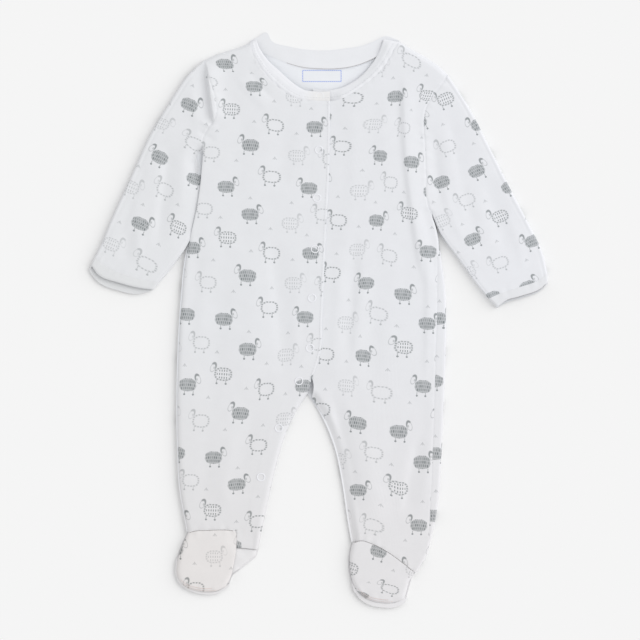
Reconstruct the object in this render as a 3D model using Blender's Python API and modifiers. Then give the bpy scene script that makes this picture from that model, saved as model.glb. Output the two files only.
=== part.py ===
"""A footed baby sleepsuit of printed cotton jersey, laid flat on its back.

The origin is on the surface that the suit lies on, under the middle of its outline. +Y runs from
the feet to the neck, +X to the side of the lower front, and +Z up out of the cloth. Sizes are in
millimetres and become metres where a mesh is made. Left is -X and right is +X, seen from above.

Each cloth piece is an open surface with a Solidify modifier. Its plan is stretched between four
edge lines, and its height is that of two laid layers, lowered where it turns down to an edge.
"""

import math
from collections import namedtuple

import bmesh
import bpy
import numpy as np

MM = 0.001
SUIT = "sleepsuit"

# Driving sizes.
WALL = 1.6  # jersey with its nap, one layer
CUFF_WALL = 1.8  # the turned hem of a sleeve
GAP = 0.35  # between two pieces at a seam
SLOPED_GAP = 0.8  # the same at an armhole, ankle or side seam, where both walls may lean
LAID = 7.0  # top of the front panels above the surface
ROLL = LAID / 2  # radius of a folded edge
LIP = WALL + 0.4  # where a front panel's edge stands on the back panel
TURN = 5.0  # how far in from its edge a front panel turns down
RIM = 1.5  # how far the back shows past the upper front on the open side seam
LAP_TOP = 4.6  # top of the lower front where the upper one covers it
LAP_RAMP = 13.0  # how far past the placket the lower front rises to its full height
CALM = 20.0  # width beside the placket that stays free of folds
ARMPIT_RAMP = 30.0  # how far below an armpit the edge of a front panel is fully turned down
HEEL_TOP = 5.2  # top of the heel panel beside the foot
CUFF_PUFF = 0.2  # how much thicker a cuff lies than its sleeve
BAND_END = 2 * WALL + 0.4  # top of the front neckband where it lies on the back one
BAND_REACH = 12.0  # how far from its ends the front neckband reaches its full height
BAND_DIP = 1.2  # how far its free edge rolls in
BAND_LAP = 3.7  # top of the lower neckband under the upper one

# Intervals of the body panels, from the shoulder down and from side to side.
TRUNK_ROWS = 17
LEG_ROWS = 9
ARMHOLE_ROWS_LEFT = 8
ARMHOLE_ROWS_RIGHT = 9
NECK_COLUMNS = 11  # of a front panel, and 6 more on its shoulder
BODY_COLUMNS = 17
BACK_NECK_COLUMNS = 4  # of each half of the back, and 3 more on its shoulder
BACK_COLUMNS = 7
SLEEVE_COLUMNS = 9
SLEEVE_ROWS = 11
FOOT_ROWS = 8
SOLE_ROWS = 6
HEEL_ROWS = 5
DENSE = 240  # points on a finely drawn edge line

# Where the first points stand, as shares of a panel, so that its wall starts steeply at its lip.
EDGE_SHARES = (0, 0.008, 0.024, 0.05)
TOP_SHARES = (0, 0.03)
LAP_SHARES = (0, 0.012, 0.075, 0.15, 0.2, 0.24, 0.3, 0.39)
ANKLE_SHARES = (0, 0.02, 0.06, 0.13)
HEEL_SHARES = (0, 0.16, 0.45)
FOLD_SHARES = (0, 0.012, 0.04, 0.09)
SHOULDER_SHARES = (0, 0.02, 0.06, 0.13)
FOOT_SHARES = (0, 0.03, 0.08, 0.16)
WRAP_SHARES = (0, 0.15, 0.3, 0.45, 0.6, 0.75, 0.92, 1)
CUFF_SHARES = (0, 0.5, 1)
ARMPIT_SHARE = 0.96  # one more row of a sleeve, close above the armpit
BAND_SHARES = (0, 0.16, 0.5, 1)
PLAIN = (0,)

# Edge lines as x, y, each from the neck down or from left to right.
SHOULDER_LEFT = ((-115, 260), (-106.5, 264), (-91.5, 269.5), (-78.5, 273.5), (-68.5, 278))
SHOULDER_RIGHT = ((81.5, 278.5), (94.5, 270.5), (108.5, 262.5), (121.5, 253.5), (129.5, 245.5))
NECKLINE_OVER = (
    (-68.5, 278), (-65.5, 267.5), (-60.5, 258.5), (-51.5, 245.5), (-41.5, 235.5),
    (-31.5, 227.5), (-21.5, 222.5), (-5.5, 220), (11.5, 219.5),
)
NECKLINE_UNDER = (
    (-5.5, 219.5), (11.8, 219.5), (26.5, 223), (38.5, 230.5), (54.5, 242.5), (67.5, 256.5),
    (75.5, 270.5), (81.5, 278.5),
)
BACK_NECK = (
    (-68.5, 278), (-60.5, 270.5), (-48.5, 264.5), (-33.5, 258.5), (-15.5, 253.5), (3.5, 252),
    (22.5, 252.5), (38.5, 255.5), (55.5, 262.5), (69.5, 271.5), (81.5, 278.5),
)
BAND_TOP = (
    (-67.8, 280), (-60.5, 284), (-52.5, 288.4), (-46.5, 279.5), (-30.5, 274.5), (-5.5, 270.5),
    (11.5, 270.5), (28.5, 272.5), (43.5, 275), (55.5, 279.5), (66.5, 284.5), (80.5, 280.5),
)
BAND_INNER_OVER = (
    (-62.5, 281), (-58.5, 271.5), (-52.5, 262.5), (-38.5, 249), (-25.5, 237.5), (-15.5, 231),
    (-2.5, 229), (11.5, 229),
)
BAND_INNER_UNDER = (
    (-5.5, 232), (11.5, 230.5), (24.5, 233.5), (33.5, 238), (43.5, 245.5), (52.5, 255.5),
    (59.5, 266.5), (65.5, 281.5),
)
ARMHOLE_LEFT = (
    (-115, 260), (-110.5, 245.5), (-105.5, 230.5), (-102, 217.5), (-102, 206.5),
    (-110.5, 191.5), (-115.5, 181.5), (-115.5, 165.5),
)
ARMHOLE_RIGHT = (
    (129.5, 245.5), (121.5, 233.5), (113.5, 223.5), (107.5, 212.5), (105.5, 200.5),
    (106.5, 175.5), (107.5, 145.5), (108.5, 120.5), (112.5, 107.5),
)
SIDE_LEFT = (
    (-115.5, 165.5), (-118.5, 133.5), (-123.5, 103.5), (-133.5, 63.5), (-138, 20.5),
    (-141, -29.5), (-142.2, -79.5), (-141.5, -129.5), (-139.2, -169.5), (-134.5, -196.5),
    (-131.5, -212.5),
)
SIDE_RIGHT = (
    (112.5, 107.5), (118, 90.5), (122.5, 63.5), (126.5, 33.5), (127.8, 0.5), (127.5, -29.5),
    (125.5, -79.5), (122.8, -139.5), (119, -186.5), (113.5, -214.5), (107.5, -235.5),
    (97.5, -252.5),
)
PLACKET = (
    (11.5, 219.5), (10.5, 150.5), (7, 80.5), (3.5, 0.5), (2, -30.5), (-2.5, -46.5),
    (-7.5, -60.5), (-11, -73.5),
)
LAP_EDGE = (
    (-5.5, 219.5), (-6.5, 150.5), (-10, 80.5), (-13.5, 0.5), (-11.5, -38), (-6.8, -56),
    (-4.8, -66), (-6.5, -77.2),
)
LEG_LEFT_INNER = (
    (-11, -73.5), (-18.5, -84.5), (-30.5, -107.5), (-41.5, -141.5), (-48.5, -171.5),
    (-54.5, -199.5), (-60.5, -229),
)
LEG_RIGHT_INNER = (
    (-11, -73.5), (3.5, -96.5), (15.5, -125.5), (23.5, -162.5), (29, -199.5), (33, -222.5),
)
ANKLE_LEFT = ((-131, -212.5), (-124.5, -210.5), (-108.5, -209.5), (-92.5, -209.2), (-82, -210.5))
ANKLE_RIGHT = (
    (33.3, -222.5), (43.5, -220), (53.5, -223), (69.5, -231.5), (83.5, -241.5), (97.3, -252.5),
)
HEEL_CORNER = (-82, -227)
HEEL_INNER = ((-81.3, -227.7), (-82.3, -236), (-84, -244.5), (-86.2, -254.8))
HEEL_OUTER = ((-61.9, -229.7), (-63, -235), (-70, -241.2), (-79, -248.4))
FOOT_LEFT_OUTER = ((-131, -213.3), (-136.5, -225.5), (-141, -241.5), (-141.5, -253.5), (-139, -261.5))
FOOT_LEFT_TOE = (
    (-139, -261.5), (-132.5, -267), (-123.5, -270), (-112.5, -271.5), (-101.5, -270.5), (-92, -265.5),
)
FOOT_LEFT_INNER = ((-82, -210.5), (-82.5, -229.5), (-85, -244.5), (-87.5, -255.5), (-92, -265.5))
SOLE_LEFT_OUTER = (
    (-131.5, -212.5), (-137.5, -225.5), (-142.5, -241.5), (-143, -253.5), (-140.5, -261.5),
)
SOLE_LEFT_TOE = (
    (-140.5, -261.5), (-133.5, -268), (-124.5, -272), (-112.5, -274), (-100.5, -273), (-90, -266.5),
)
SOLE_LEFT_INNER = (
    (-60.5, -229), (-61.5, -234.5), (-69, -242), (-78.5, -249.5), (-86, -255.5), (-90, -266.5),
)
FOOT_RIGHT_INNER = ((33.8, -222.5), (31.3, -235.5), (31.5, -247.5), (33.5, -259.5), (38, -270.5))
FOOT_RIGHT_TOE = ((38, -270.5), (47.5, -278), (59.5, -281.8), (72.5, -282.5), (85.5, -279))
FOOT_RIGHT_OUTER = ((96, -252.5), (91, -260.5), (88.5, -269.5), (85.5, -279))
SOLE_RIGHT_INNER = ((33, -222.5), (30.1, -235.5), (30, -247.5), (32, -259.5), (35.5, -271))
SOLE_RIGHT_TOE = (
    (35.5, -271), (42.5, -279.5), (52.5, -285), (64.5, -287.1), (76.5, -286.9), (86.5, -282.5),
)
SOLE_RIGHT_OUTER = ((97.5, -252.5), (92.5, -260.5), (90, -269.5), (86.5, -282.5))

# A sleeve is a flat tube: its two folded edges, its cuff seam, and its hem above and below.
# The corner is the point of the armhole at which the sleeve's plan turns down its inside, and the
# turn is the share of the outer edge that lies straight across from the armpit.
Sleeve = namedtuple("Sleeve", "armhole outer inner cuff_seam hem_top hem_under corner turn")
SLEEVES = {
    "left": Sleeve(
        armhole=ARMHOLE_LEFT,
        outer=(
            (-115, 260), (-130.5, 245.5), (-148.5, 218.5), (-168.5, 185.5), (-183.5, 152.5),
            (-206.5, 102.5), (-221.5, 68), (-224, 63.5),
        ),
        inner=(
            (-116.5, 165.5), (-119.5, 140.5), (-125.3, 103.5), (-132.5, 77.5), (-138, 65.5),
            (-145.5, 55), (-159, 38.5),
        ),
        cuff_seam=((-224, 63.5), (-214.5, 55.5), (-198.5, 47), (-171.5, 40), (-159, 38.5)),
        hem_top=((-227.5, 55.5), (-220.5, 46), (-198.5, 37.5), (-175.5, 32), (-165, 31)),
        hem_under=(
            (-230.4, 50.5), (-220.5, 38.5), (-198.5, 29.5), (-183, 26.5), (-175, 27.5), (-165, 30.9),
        ),
        corner=4,
        turn=0.39,
    ),
    "right": Sleeve(
        armhole=ARMHOLE_RIGHT,
        outer=(
            (129.5, 245.5), (148.5, 216.5), (171.5, 172.5), (191.5, 132.5), (211.5, 94.5),
            (224.5, 66.5), (229, 47.5),
        ),
        inner=((113.5, 106.5), (121.5, 87.5), (141.5, 59.5), (156.5, 38.5), (170, 22)),
        cuff_seam=((229, 47.5), (219.5, 40), (201.5, 33.5), (184.5, 28), (170, 22)),
        hem_top=((229.5, 38.5), (222.5, 32), (201.5, 24), (186.5, 19.5), (178.5, 13.5)),
        hem_under=((229.5, 37), (223, 30.5), (202, 22), (187, 17.3), (178, 12)),
        corner=3,
        turn=0.57,
    ),
}

# How much of the back panel's width is wrapped round the right edge onto the front, at each y.
# The gap is that at the seam, wider where the seam climbs the rolled edge.
Wrap = namedtuple("Wrap", "y width gap")
WRAPS = (
    Wrap(107.5, 0, 0.8), Wrap(92, 4, 1.6), Wrap(78, 8, 1.8), Wrap(63.5, 11, 1.6),
    Wrap(33, 15.6, 0.8), Wrap(0, 17, 0.8), Wrap(-30, 18, 0.8), Wrap(-80, 17, 0.8),
    Wrap(-140, 16.6, 0.8), Wrap(-186, 15, 0.8), Wrap(-214, 11, 0.8), Wrap(-235, 6, 0.8),
    Wrap(-252.5, 3, 0.8),
)

# The largest folds: a line through three points, its reach to each side, and its height.
Fold = namedtuple("Fold", "start middle end reach height")
FOLDS = (
    Fold((84, 262), (84, 160), (102.5, 70), 5.0, -2.4),  # shoulder to hip, upper half
    Fold((100, 85), (107, 10), (103, -90), 5.5, -2.0),  # and lower half
    Fold((38, 95), (33, 20), (27, -55), 8.0, -1.6),  # beside the placket
    Fold((12, -62), (27, -135), (38, -212), 7.5, -1.8),  # into the right leg
    Fold((104, -110), (93, -155), (86, -205), 8.0, -1.3),  # right calf
    Fold((62, 75), (54, -10), (52, -85), 11.0, -0.9),  # right hip
    Fold((-48, 95), (-40, 20), (-34, -60), 10.0, -1.2),  # left of the placket
    Fold((-55, -75), (-70, -120), (-82, -180), 11.0, -1.2),  # left leg
    Fold((-95, 60), (-103, -20), (-106, -110), 12.0, -0.8),  # left hip
    Fold((-30, 215), (-36, 165), (-40, 115), 10.0, -0.9),  # under the neckline
    Fold((-113, 252), (-107, 222), (-106, 198), 4.5, -2.0),  # left armhole
    Fold((-121, 172), (-121, 150), (-124, 125), 5.0, -1.8),  # under the left arm
    Fold((-148, 182), (-154, 130), (-163, 62), 7.0, -1.5),  # along the left sleeve
    Fold((-189, 95), (-192, 75), (-192, 55), 6.5, -1.0),  # above the left cuff
    Fold((116, 195), (118, 150), (124, 110), 6.5, -1.4),  # right armpit
    Fold((165, 150), (178, 105), (190, 60), 9.0, -0.9),  # along the right sleeve
    Fold((-86, -232), (-72, -222), (-58, -222), 12.0, -1.8),  # hollow above the left heel
)
FOLD_POINTS = 28
FOLD_FADE = 0.22  # share of a fold's length over which each end dies away

# Poppers, by the place of their middle.
Popper = namedtuple("Popper", "x y")
POPPERS = (
    Popper(1.5, 224.6), Popper(0.5, 170.5), Popper(-1.5, 122.5), Popper(-3.5, 71.5),
    Popper(-6.5, 22.5), Popper(-8.5, -27.5), Popper(-19.5, -60.5), Popper(-39.5, -107.5),
    Popper(-57.5, -156.5),
)
POPPER_RADIUS = 4.0
POPPER_HEIGHT = 1.1
POPPER_DISH = 0.8  # height of the dished middle
POPPER_STEPS = 12

Finish = namedtuple("Finish", "color roughness")
FINISHES = {
    "printed_jersey": Finish((0.83, 0.84, 0.86), 0.9),
    "plain_jersey": Finish((0.86, 0.87, 0.89), 0.88),
    "popper_plastic": Finish((0.9, 0.91, 0.93), 0.35),
}


# Lines and plans ---------------------------------------------------------------------------------


def flow(knots):
    """A finely drawn smooth line through the knots."""
    knots = np.array(knots, float)
    along = lengths(knots)
    slope = np.gradient(knots, along, axis=0)
    at = np.linspace(0, along[-1], DENSE)
    i = np.clip(np.searchsorted(along, at, side="right") - 1, 0, len(along) - 2)
    step = (along[i + 1] - along[i])[:, None]
    t = (at - along[i])[:, None] / step
    return (
        (2 * t**3 - 3 * t**2 + 1) * knots[i]
        + (t**3 - 2 * t**2 + t) * step * slope[i]
        + (3 * t**2 - 2 * t**3) * knots[i + 1]
        + (t**3 - t**2) * step * slope[i + 1]
    )


def lengths(line):
    """How far along the line each of its points is."""
    return np.concatenate([[0], np.cumsum(np.hypot(*np.diff(line, axis=0).T))])


def places(line, shares):
    """Points of a drawn line at these shares of its length."""
    along = lengths(line)
    at = np.asarray(shares) * along[-1]
    return np.stack([np.interp(at, along, line[:, k]) for k in range(2)], axis=1)


def steps(line, count, first=PLAIN):
    """The line cut into intervals, equal but for the first ones."""
    return places(line, crowded(count, first, PLAIN))


def split(line, parts=2):
    """The line with every interval cut in equal parts, so that it keeps its corners."""
    own = np.arange(len(line))
    at = np.linspace(0, len(line) - 1, parts * (len(line) - 1) + 1)
    return np.stack([np.interp(at, own, line[:, k]) for k in range(2)], axis=1)


def cut_through(line, shares):
    """Points at the corners of the line and, where none is near, at these shares of its length."""
    own = shares_of(line)
    more = [share for share in shares if np.abs(own - share).min() > 0.008]
    return places(line, np.sort(np.concatenate([own, more])))


def shares_of(line):
    """Where each point of the line is, as a share of its length."""
    return lengths(line) / lengths(line)[-1]


def chain(*parts):
    """Point rows end to end, each starting where the last one stopped."""
    return np.vstack([parts[0]] + [part[1:] for part in parts[1:]])


def crowded(count, first=EDGE_SHARES, last=EDGE_SHARES):
    """Shares from 0 to 1 in count intervals, closer together at the ends."""
    inner = np.linspace(first[-1], 1 - last[-1], count - len(first) - len(last) + 3)
    return np.concatenate([first[:-1], inner, 1 - np.array(last[-2::-1])])


def stretched(top, bottom, left, right):
    """A grid of plan points, rows by columns, stretched between its four edges.

    The sides are drawn to the ends of the top and bottom lines, wherever those are.
    """
    left, right = left.copy(), right.copy()
    left[0], right[0], left[-1], right[-1] = top[0], top[-1], bottom[0], bottom[-1]
    down = [shares_of(side) for side in (left, right)]
    across = [shares_of(side) for side in (top, bottom)]
    u_middle, v_middle = sum(across)[None, :, None] / 2, sum(down)[:, None, None] / 2
    u = (1 - v_middle) * across[0][None, :, None] + v_middle * across[1][None, :, None]
    v = (1 - u_middle) * down[0][:, None, None] + u_middle * down[1][:, None, None]
    corners = (
        (1 - u) * (1 - v) * top[0] + u * (1 - v) * top[-1] + (1 - u) * v * bottom[0] + u * v * bottom[-1]
    )
    sides = (1 - u) * left[:, None] + u * right[:, None]
    return (1 - v) * top[None] + v * bottom[None] + sides - corners


def moved(points, x=0.0, y=0.0):
    """The points, shifted in the plane."""
    return np.asarray(points, float) + (x, y)


def away(plan, line):
    """How far each point of a plan is from a drawn line."""
    flat = plan.reshape(-1, 1, 2)
    return np.sqrt(((flat - line[None]) ** 2).sum(2).min(1)).reshape(plan.shape[:-1])


def read(line, y):
    """The x of a line that runs down the suit, at each y."""
    order = np.argsort(line[:, 1])
    return np.interp(y, line[order, 1], line[order, 0])


# Heights -----------------------------------------------------------------------------------------


def rise(distance, reach):
    """From 0 at an edge to 1 at its reach, as a quarter ellipse."""
    return np.sqrt(1 - (1 - np.clip(distance / reach, 0, 1)) ** 2)


def soft_step(value):
    """From 0 to 1 with level ends."""
    t = np.clip(value, 0, 1)
    return t * t * (3 - 2 * t)


def creases(plan):
    """The summed height of the folds at each point of a plan."""
    total = np.zeros(plan.shape[:-1])
    t = np.linspace(0, 1, FOLD_POINTS)
    for fold in FOLDS:
        start, middle, end = (np.array(p, float) for p in (fold.start, fold.middle, fold.end))
        bend = 2 * middle - (start + end) / 2
        line = (
            ((1 - t) ** 2)[:, None] * start + (2 * t * (1 - t))[:, None] * bend + (t**2)[:, None] * end
        )
        squared = ((plan[..., None, :] - line) ** 2).sum(-1)
        nearest = t[squared.argmin(-1)]
        fade = soft_step(nearest / FOLD_FADE) * soft_step((1 - nearest) / FOLD_FADE)
        total += fold.height * fade * np.exp(-squared.min(-1) / fold.reach**2)
    return total


def wrapped(y, column="width"):
    """The width of the back that is wrapped round the right edge, or its seam gap, at each y."""
    rows = sorted(WRAPS)
    return np.interp(y, [row.y for row in rows], [getattr(row, column) for row in rows])


def bent(edge_x, wrap, along):
    """x and z of a layer that leaves the surface, rolls round edge_x and lies back over itself."""
    flat_end = edge_x - ROLL * np.sin(np.minimum(wrap / ROLL, math.pi / 2))
    turn = np.clip(along / ROLL, 0, math.pi)
    over = np.maximum(along - math.pi * ROLL, 0)
    return flat_end + ROLL * np.sin(turn) - over, ROLL - ROLL * np.cos(turn)


# Meshes ------------------------------------------------------------------------------------------


def finish(name):
    """The Principled material of a finish, made once."""
    material = bpy.data.materials.get(name)
    if material is None:
        material = bpy.data.materials.new(name)
        material.use_nodes = True
        shader = material.node_tree.nodes["Principled BSDF"]
        shader.inputs["Base Color"].default_value = (*FINISHES[name].color, 1)
        shader.inputs["Roughness"].default_value = FINISHES[name].roughness
        shader.inputs["Metallic"].default_value = 0.0
    return material


def placed(name, mesh):
    """A new object of the suit."""
    piece = bpy.data.objects.new(name, mesh)
    bpy.data.collections[SUIT].objects.link(piece)
    return piece


def cloth(name, grids, finish_name, wall=WALL, outside_up=True, lip=False):
    """An object of one wall under, or inside, the grids of x, y, z points, welded where they meet."""
    made = bmesh.new()
    for points in grids:
        rows, columns = points.shape[:2]
        corners = [[made.verts.new(p) for p in row] for row in (points * MM).tolist()]
        for i in range(rows - 1):
            for j in range(columns - 1):
                face = (corners[i][j], corners[i + 1][j], corners[i + 1][j + 1], corners[i][j + 1])
                made.faces.new(face if outside_up else face[::-1])
    bmesh.ops.remove_doubles(made, verts=made.verts, dist=1e-6)
    mesh = bpy.data.meshes.new(name)
    made.to_mesh(mesh)
    made.free()
    mesh.materials.append(finish(finish_name))
    mesh.shade_smooth()
    piece = placed(name, mesh)
    thick = piece.modifiers.new("Wall", "SOLIDIFY")
    thick.thickness = wall * MM
    thick.offset = -1
    if lip:
        stand_square(piece)
    return piece


def stand_square(piece):
    """Makes the wall a mesh and lets none of it reach below its lip."""
    evaluated = piece.evaluated_get(bpy.context.evaluated_depsgraph_get())
    walled = bpy.data.meshes.new_from_object(evaluated)
    points = np.empty(len(walled.vertices) * 3, np.float32)
    walled.vertices.foreach_get("co", points)
    points[2::3] = np.maximum(points[2::3], LIP * MM)
    walled.vertices.foreach_set("co", points)
    piece.modifiers.clear()
    piece.data = walled


def raised(plan, height):
    """A plan and its heights as one grid of points."""
    return np.concatenate([plan, np.broadcast_to(height, plan.shape[:-1])[..., None]], axis=-1)


# Body --------------------------------------------------------------------------------------------


def neckline_over():
    """The points of the upper front's neckline, which its band shares."""
    return places(flow(NECKLINE_OVER), crowded(NECK_COLUMNS, PLAIN, FOLD_SHARES))


def neckline_under():
    """The points of the lower front's neckline, which its band shares."""
    return places(flow(NECKLINE_UNDER), crowded(NECK_COLUMNS, LAP_SHARES, PLAIN))


def armhole(side):
    """The points of an armhole, which the front, the back and the sleeve share."""
    rows = {"left": ARMHOLE_ROWS_LEFT, "right": ARMHOLE_ROWS_RIGHT}[side]
    return steps(flow(SLEEVES[side].armhole), rows, TOP_SHARES)


def back_neck():
    """The points of both halves of the back's neck, which its band shares."""
    neck = flow(BACK_NECK)
    centre = np.abs(neck[:, 0] - BACK_NECK[5][0]).argmin()
    return steps(neck[: centre + 1], BACK_NECK_COLUMNS), steps(neck[centre:], BACK_NECK_COLUMNS)


def front_over():
    """The upper front: half the trunk, the placket edge and one leg, open down its inside."""
    left = chain(
        armhole("left"),
        steps(moved(flow(SIDE_LEFT), RIM), TRUNK_ROWS + LEG_ROWS - ARMHOLE_ROWS_LEFT),
    )
    leg = flow(LEG_LEFT_INNER)
    shown = 0.8 + 4.7 * soft_step(np.linspace(0, 1.1, DENSE))
    leg_edge = leg - shown[:, None] * (1, 0)
    right = chain(steps(flow(PLACKET), TRUNK_ROWS, TOP_SHARES), steps(leg_edge, LEG_ROWS))
    right[TRUNK_ROWS] = PLACKET[-1]
    top = chain(places(flow(SHOULDER_LEFT), crowded(6, EDGE_SHARES, PLAIN)), neckline_over())
    bottom = chain(
        steps(flow(ANKLE_LEFT), 11, ANKLE_SHARES), steps(flow((ANKLE_LEFT[-1], HEEL_CORNER)), 2),
        places(flow((HEEL_CORNER, right[-1])), crowded(4, PLAIN, HEEL_SHARES)),
    )
    plan = stretched(top, bottom, left, right)
    beside = read(flow(PLACKET), plan[..., 1]) - plan[..., 0]
    calm = np.where(plan[..., 1] > PLACKET[-1][1] - CALM, soft_step((beside - CALM) / 12), 1)
    height = LAID + creases(plan) * calm
    for lip in (flow(SHOULDER_LEFT), leg_edge):
        height = LIP + (height - LIP) * rise(away(plan, lip), TURN)
    low = LIP + (height - LIP) * rise(away(plan, moved(flow(SIDE_LEFT), RIM)), TURN)
    height = height + (low - height) * soft_step((SIDE_LEFT[0][1] - plan[..., 1]) / ARMPIT_RAMP)
    return cloth("front_over", [raised(plan, height)], "printed_jersey", lip=True)


def ankle_right():
    """The points of the right ankle seam, which the lower front and the instep share."""
    return places(flow(ANKLE_RIGHT), crowded(BODY_COLUMNS, ANKLE_SHARES, ANKLE_SHARES))


def right_outline():
    """The right outline below the armpit, at the rows that both layers share there."""
    return steps(flow(SIDE_RIGHT), TRUNK_ROWS + LEG_ROWS - ARMHOLE_ROWS_RIGHT)


def front_under():
    """The lower front: it runs under the placket, and its right seam lies on top of the suit."""
    leg_edge = flow((LAP_EDGE[-1],) + tuple((x + 1.2, y) for x, y in LEG_RIGHT_INNER[1:]))
    left = chain(steps(flow(LAP_EDGE), TRUNK_ROWS, TOP_SHARES), steps(leg_edge, LEG_ROWS))
    edge = right_outline()
    wrap = wrapped(edge[:, 1]) + wrapped(edge[:, 1], "gap")
    seam = np.stack([bent(edge[:, 0], wrap, wrap)[0], edge[:, 1]], axis=1)
    right = chain(armhole("right"), seam)
    top = chain(neckline_under(), places(flow(SHOULDER_RIGHT), crowded(6, PLAIN, EDGE_SHARES)))
    plan = stretched(top, ankle_right(), left, right)
    x, y = plan[..., 0], plan[..., 1]
    inside = np.where(y < edge[0, 1], read(edge, y) - x, away(plan, edge[:1]))
    height = LAID + creases(plan) * soft_step((inside - ROLL) / 10)
    beside = x - read(flow(PLACKET), y)
    covered = (1 - soft_step((beside - 1) / LAP_RAMP)) * soft_step((y - PLACKET[-1][1]) / 8)
    height = height - (height - LAP_TOP) * covered
    for lip in (flow(SHOULDER_RIGHT), leg_edge):
        height = LIP + (height - LIP) * rise(away(plan, lip), TURN)
    base = LAID - (LAID - ROLL) * soft_step((edge[0, 1] - y) / ARMPIT_RAMP)
    height = base + (height - base) * rise(inside, ROLL)
    return cloth("front_under", [raised(plan, height)], "printed_jersey", lip=True)


def right_turn():
    """The right outline, the width wrapped round it, and where the back leaves the surface."""
    outline = right_outline()
    wrap = wrapped(outline[:, 1])
    flat_end = np.stack([bent(outline[:, 0], wrap, 0 * wrap)[0], outline[:, 1]], axis=1)
    return outline, wrap, flat_end


def heel_seam_left():
    """The points of the lower end of the back's left leg, which the sole shares."""
    return steps(flow((SIDE_LEFT[-1], LEG_LEFT_INNER[-1])), BACK_COLUMNS)


def heel_seam_right():
    """The points of the lower end of the back's right leg, which the sole shares."""
    return steps(flow(ANKLE_RIGHT[:-1] + (tuple(right_turn()[2][-1]),)), BACK_COLUMNS)


def back_panel():
    """The whole back: flat on the surface, and rolled over the right edge onto the front."""
    middle = chain(
        steps(flow((BACK_NECK[5], PLACKET[-1])), TRUNK_ROWS), steps(flow(LEG_LEFT_INNER), LEG_ROWS)
    )
    neck = back_neck()
    side = steps(flow(SIDE_LEFT), TRUNK_ROWS + LEG_ROWS - ARMHOLE_ROWS_LEFT)
    top = chain(steps(flow(SHOULDER_LEFT), BACK_COLUMNS - BACK_NECK_COLUMNS), neck[0])
    left = stretched(top, heel_seam_left(), chain(armhole("left"), side), middle)
    middle[TRUNK_ROWS:] = steps(flow(LEG_RIGHT_INNER), LEG_ROWS)
    outline, wrap, side = right_turn()
    top = chain(neck[1], steps(flow(SHOULDER_RIGHT), BACK_COLUMNS - BACK_NECK_COLUMNS))
    right = stretched(top, heel_seam_right(), middle, chain(armhole("right"), side))
    along = wrap[:, None] * np.array(WRAP_SHARES)
    x, z = bent(outline[:, :1], wrap[:, None], along)
    rolled = np.stack([x, np.broadcast_to(outline[:, 1:], x.shape), z], axis=-1)
    return cloth(
        "back_panel", [raised(left, 0), raised(right, 0), rolled], "printed_jersey", outside_up=False
    )


# Sleeves and cuffs -------------------------------------------------------------------------------


def tube(upper, lower, height, over):
    """The two layers of a flattened tube, which meet halfway up wherever over is 0."""
    middle = (upper + lower) / 2
    upper = middle + (upper - middle) * over[..., None]
    lower = middle + (lower - middle) * over[..., None]
    top = raised(upper, ROLL + (height - ROLL) * over)
    under = raised(lower, ROLL - ROLL * over)
    return [top, under[:, ::-1]]


def sleeve_and_cuff(side):
    """A sleeve, and the band of its turned hem, both folded at their two long edges.

    The sleeve is drawn as two plans that meet in a row from the armpit straight across.
    """
    cut = SLEEVES[side]
    outward = -SLOPED_GAP if side == "left" else SLOPED_GAP
    seam = moved(armhole(side), outward)
    outer = flow(cut.outer)
    inner = flow((tuple(seam[-1]),) + cut.inner[1:])
    upper_inner = cut_through(seam[cut.corner :], (ARMPIT_SHARE,))
    upper_outer = places(outer, cut.turn * shares_of(upper_inner))
    shoulder = cut_through(seam[: cut.corner + 1], crowded(SLEEVE_COLUMNS, SHOULDER_SHARES, PLAIN))
    shares = crowded(len(shoulder) - 1, FOLD_SHARES, FOLD_SHARES)
    across = places(flow((tuple(upper_outer[-1]), tuple(seam[-1]))), shares)
    cuff_seam, hem_top, hem_under = (
        places(flow(line), shares) for line in (cut.cuff_seam, cut.hem_top, cut.hem_under)
    )
    upper = stretched(shoulder, across, upper_outer, upper_inner)
    lower_outer = places(outer, np.linspace(cut.turn, 1, SLEEVE_ROWS + 1))
    plan = np.vstack([upper, stretched(across, cuff_seam, lower_outer, steps(inner, SLEEVE_ROWS))[1:]])
    over = rise(away(plan, outer), ROLL) * rise(away(plan, inner), ROLL)
    over[:, 0] = 0
    over[len(upper) - 1 :, -1] = 0
    layers = tube(plan, plan, LAID + creases(plan), over)
    toward = (hem_top - cuff_seam) / np.hypot(*(hem_top - cuff_seam).T)[:, None]
    along = lengths(cuff_seam)
    over = rise(along, ROLL) * rise(along[-1] - along, ROLL)
    start = cuff_seam + SLOPED_GAP * (3 - 2 * over)[:, None] * toward
    v = np.array(CUFF_SHARES)[:, None, None]
    upper, lower = start + v * (hem_top - start), start + v * (hem_under - start)
    over = np.broadcast_to(over, upper.shape[:2])
    cuff = tube(upper, lower, LAID + CUFF_PUFF, over)
    if side == "right":
        layers, cuff = ([grid[:, ::-1] for grid in grids] for grids in (layers, cuff))
    cloth("sleeve_" + side, layers, "printed_jersey")
    cloth("cuff_" + side, cuff, "plain_jersey", CUFF_WALL)


# Neckband ----------------------------------------------------------------------------------------


def strip(free_edge, seam, shares):
    """The plan of a band between its free edge and its seam, a gap short of the seam."""
    free = places(flow(free_edge), shares_of(seam))
    sewn = seam + GAP * (free - seam) / np.hypot(*(free - seam).T)[:, None]
    v = np.array(shares)[:, None, None]
    return free + v * (sewn - free)


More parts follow.
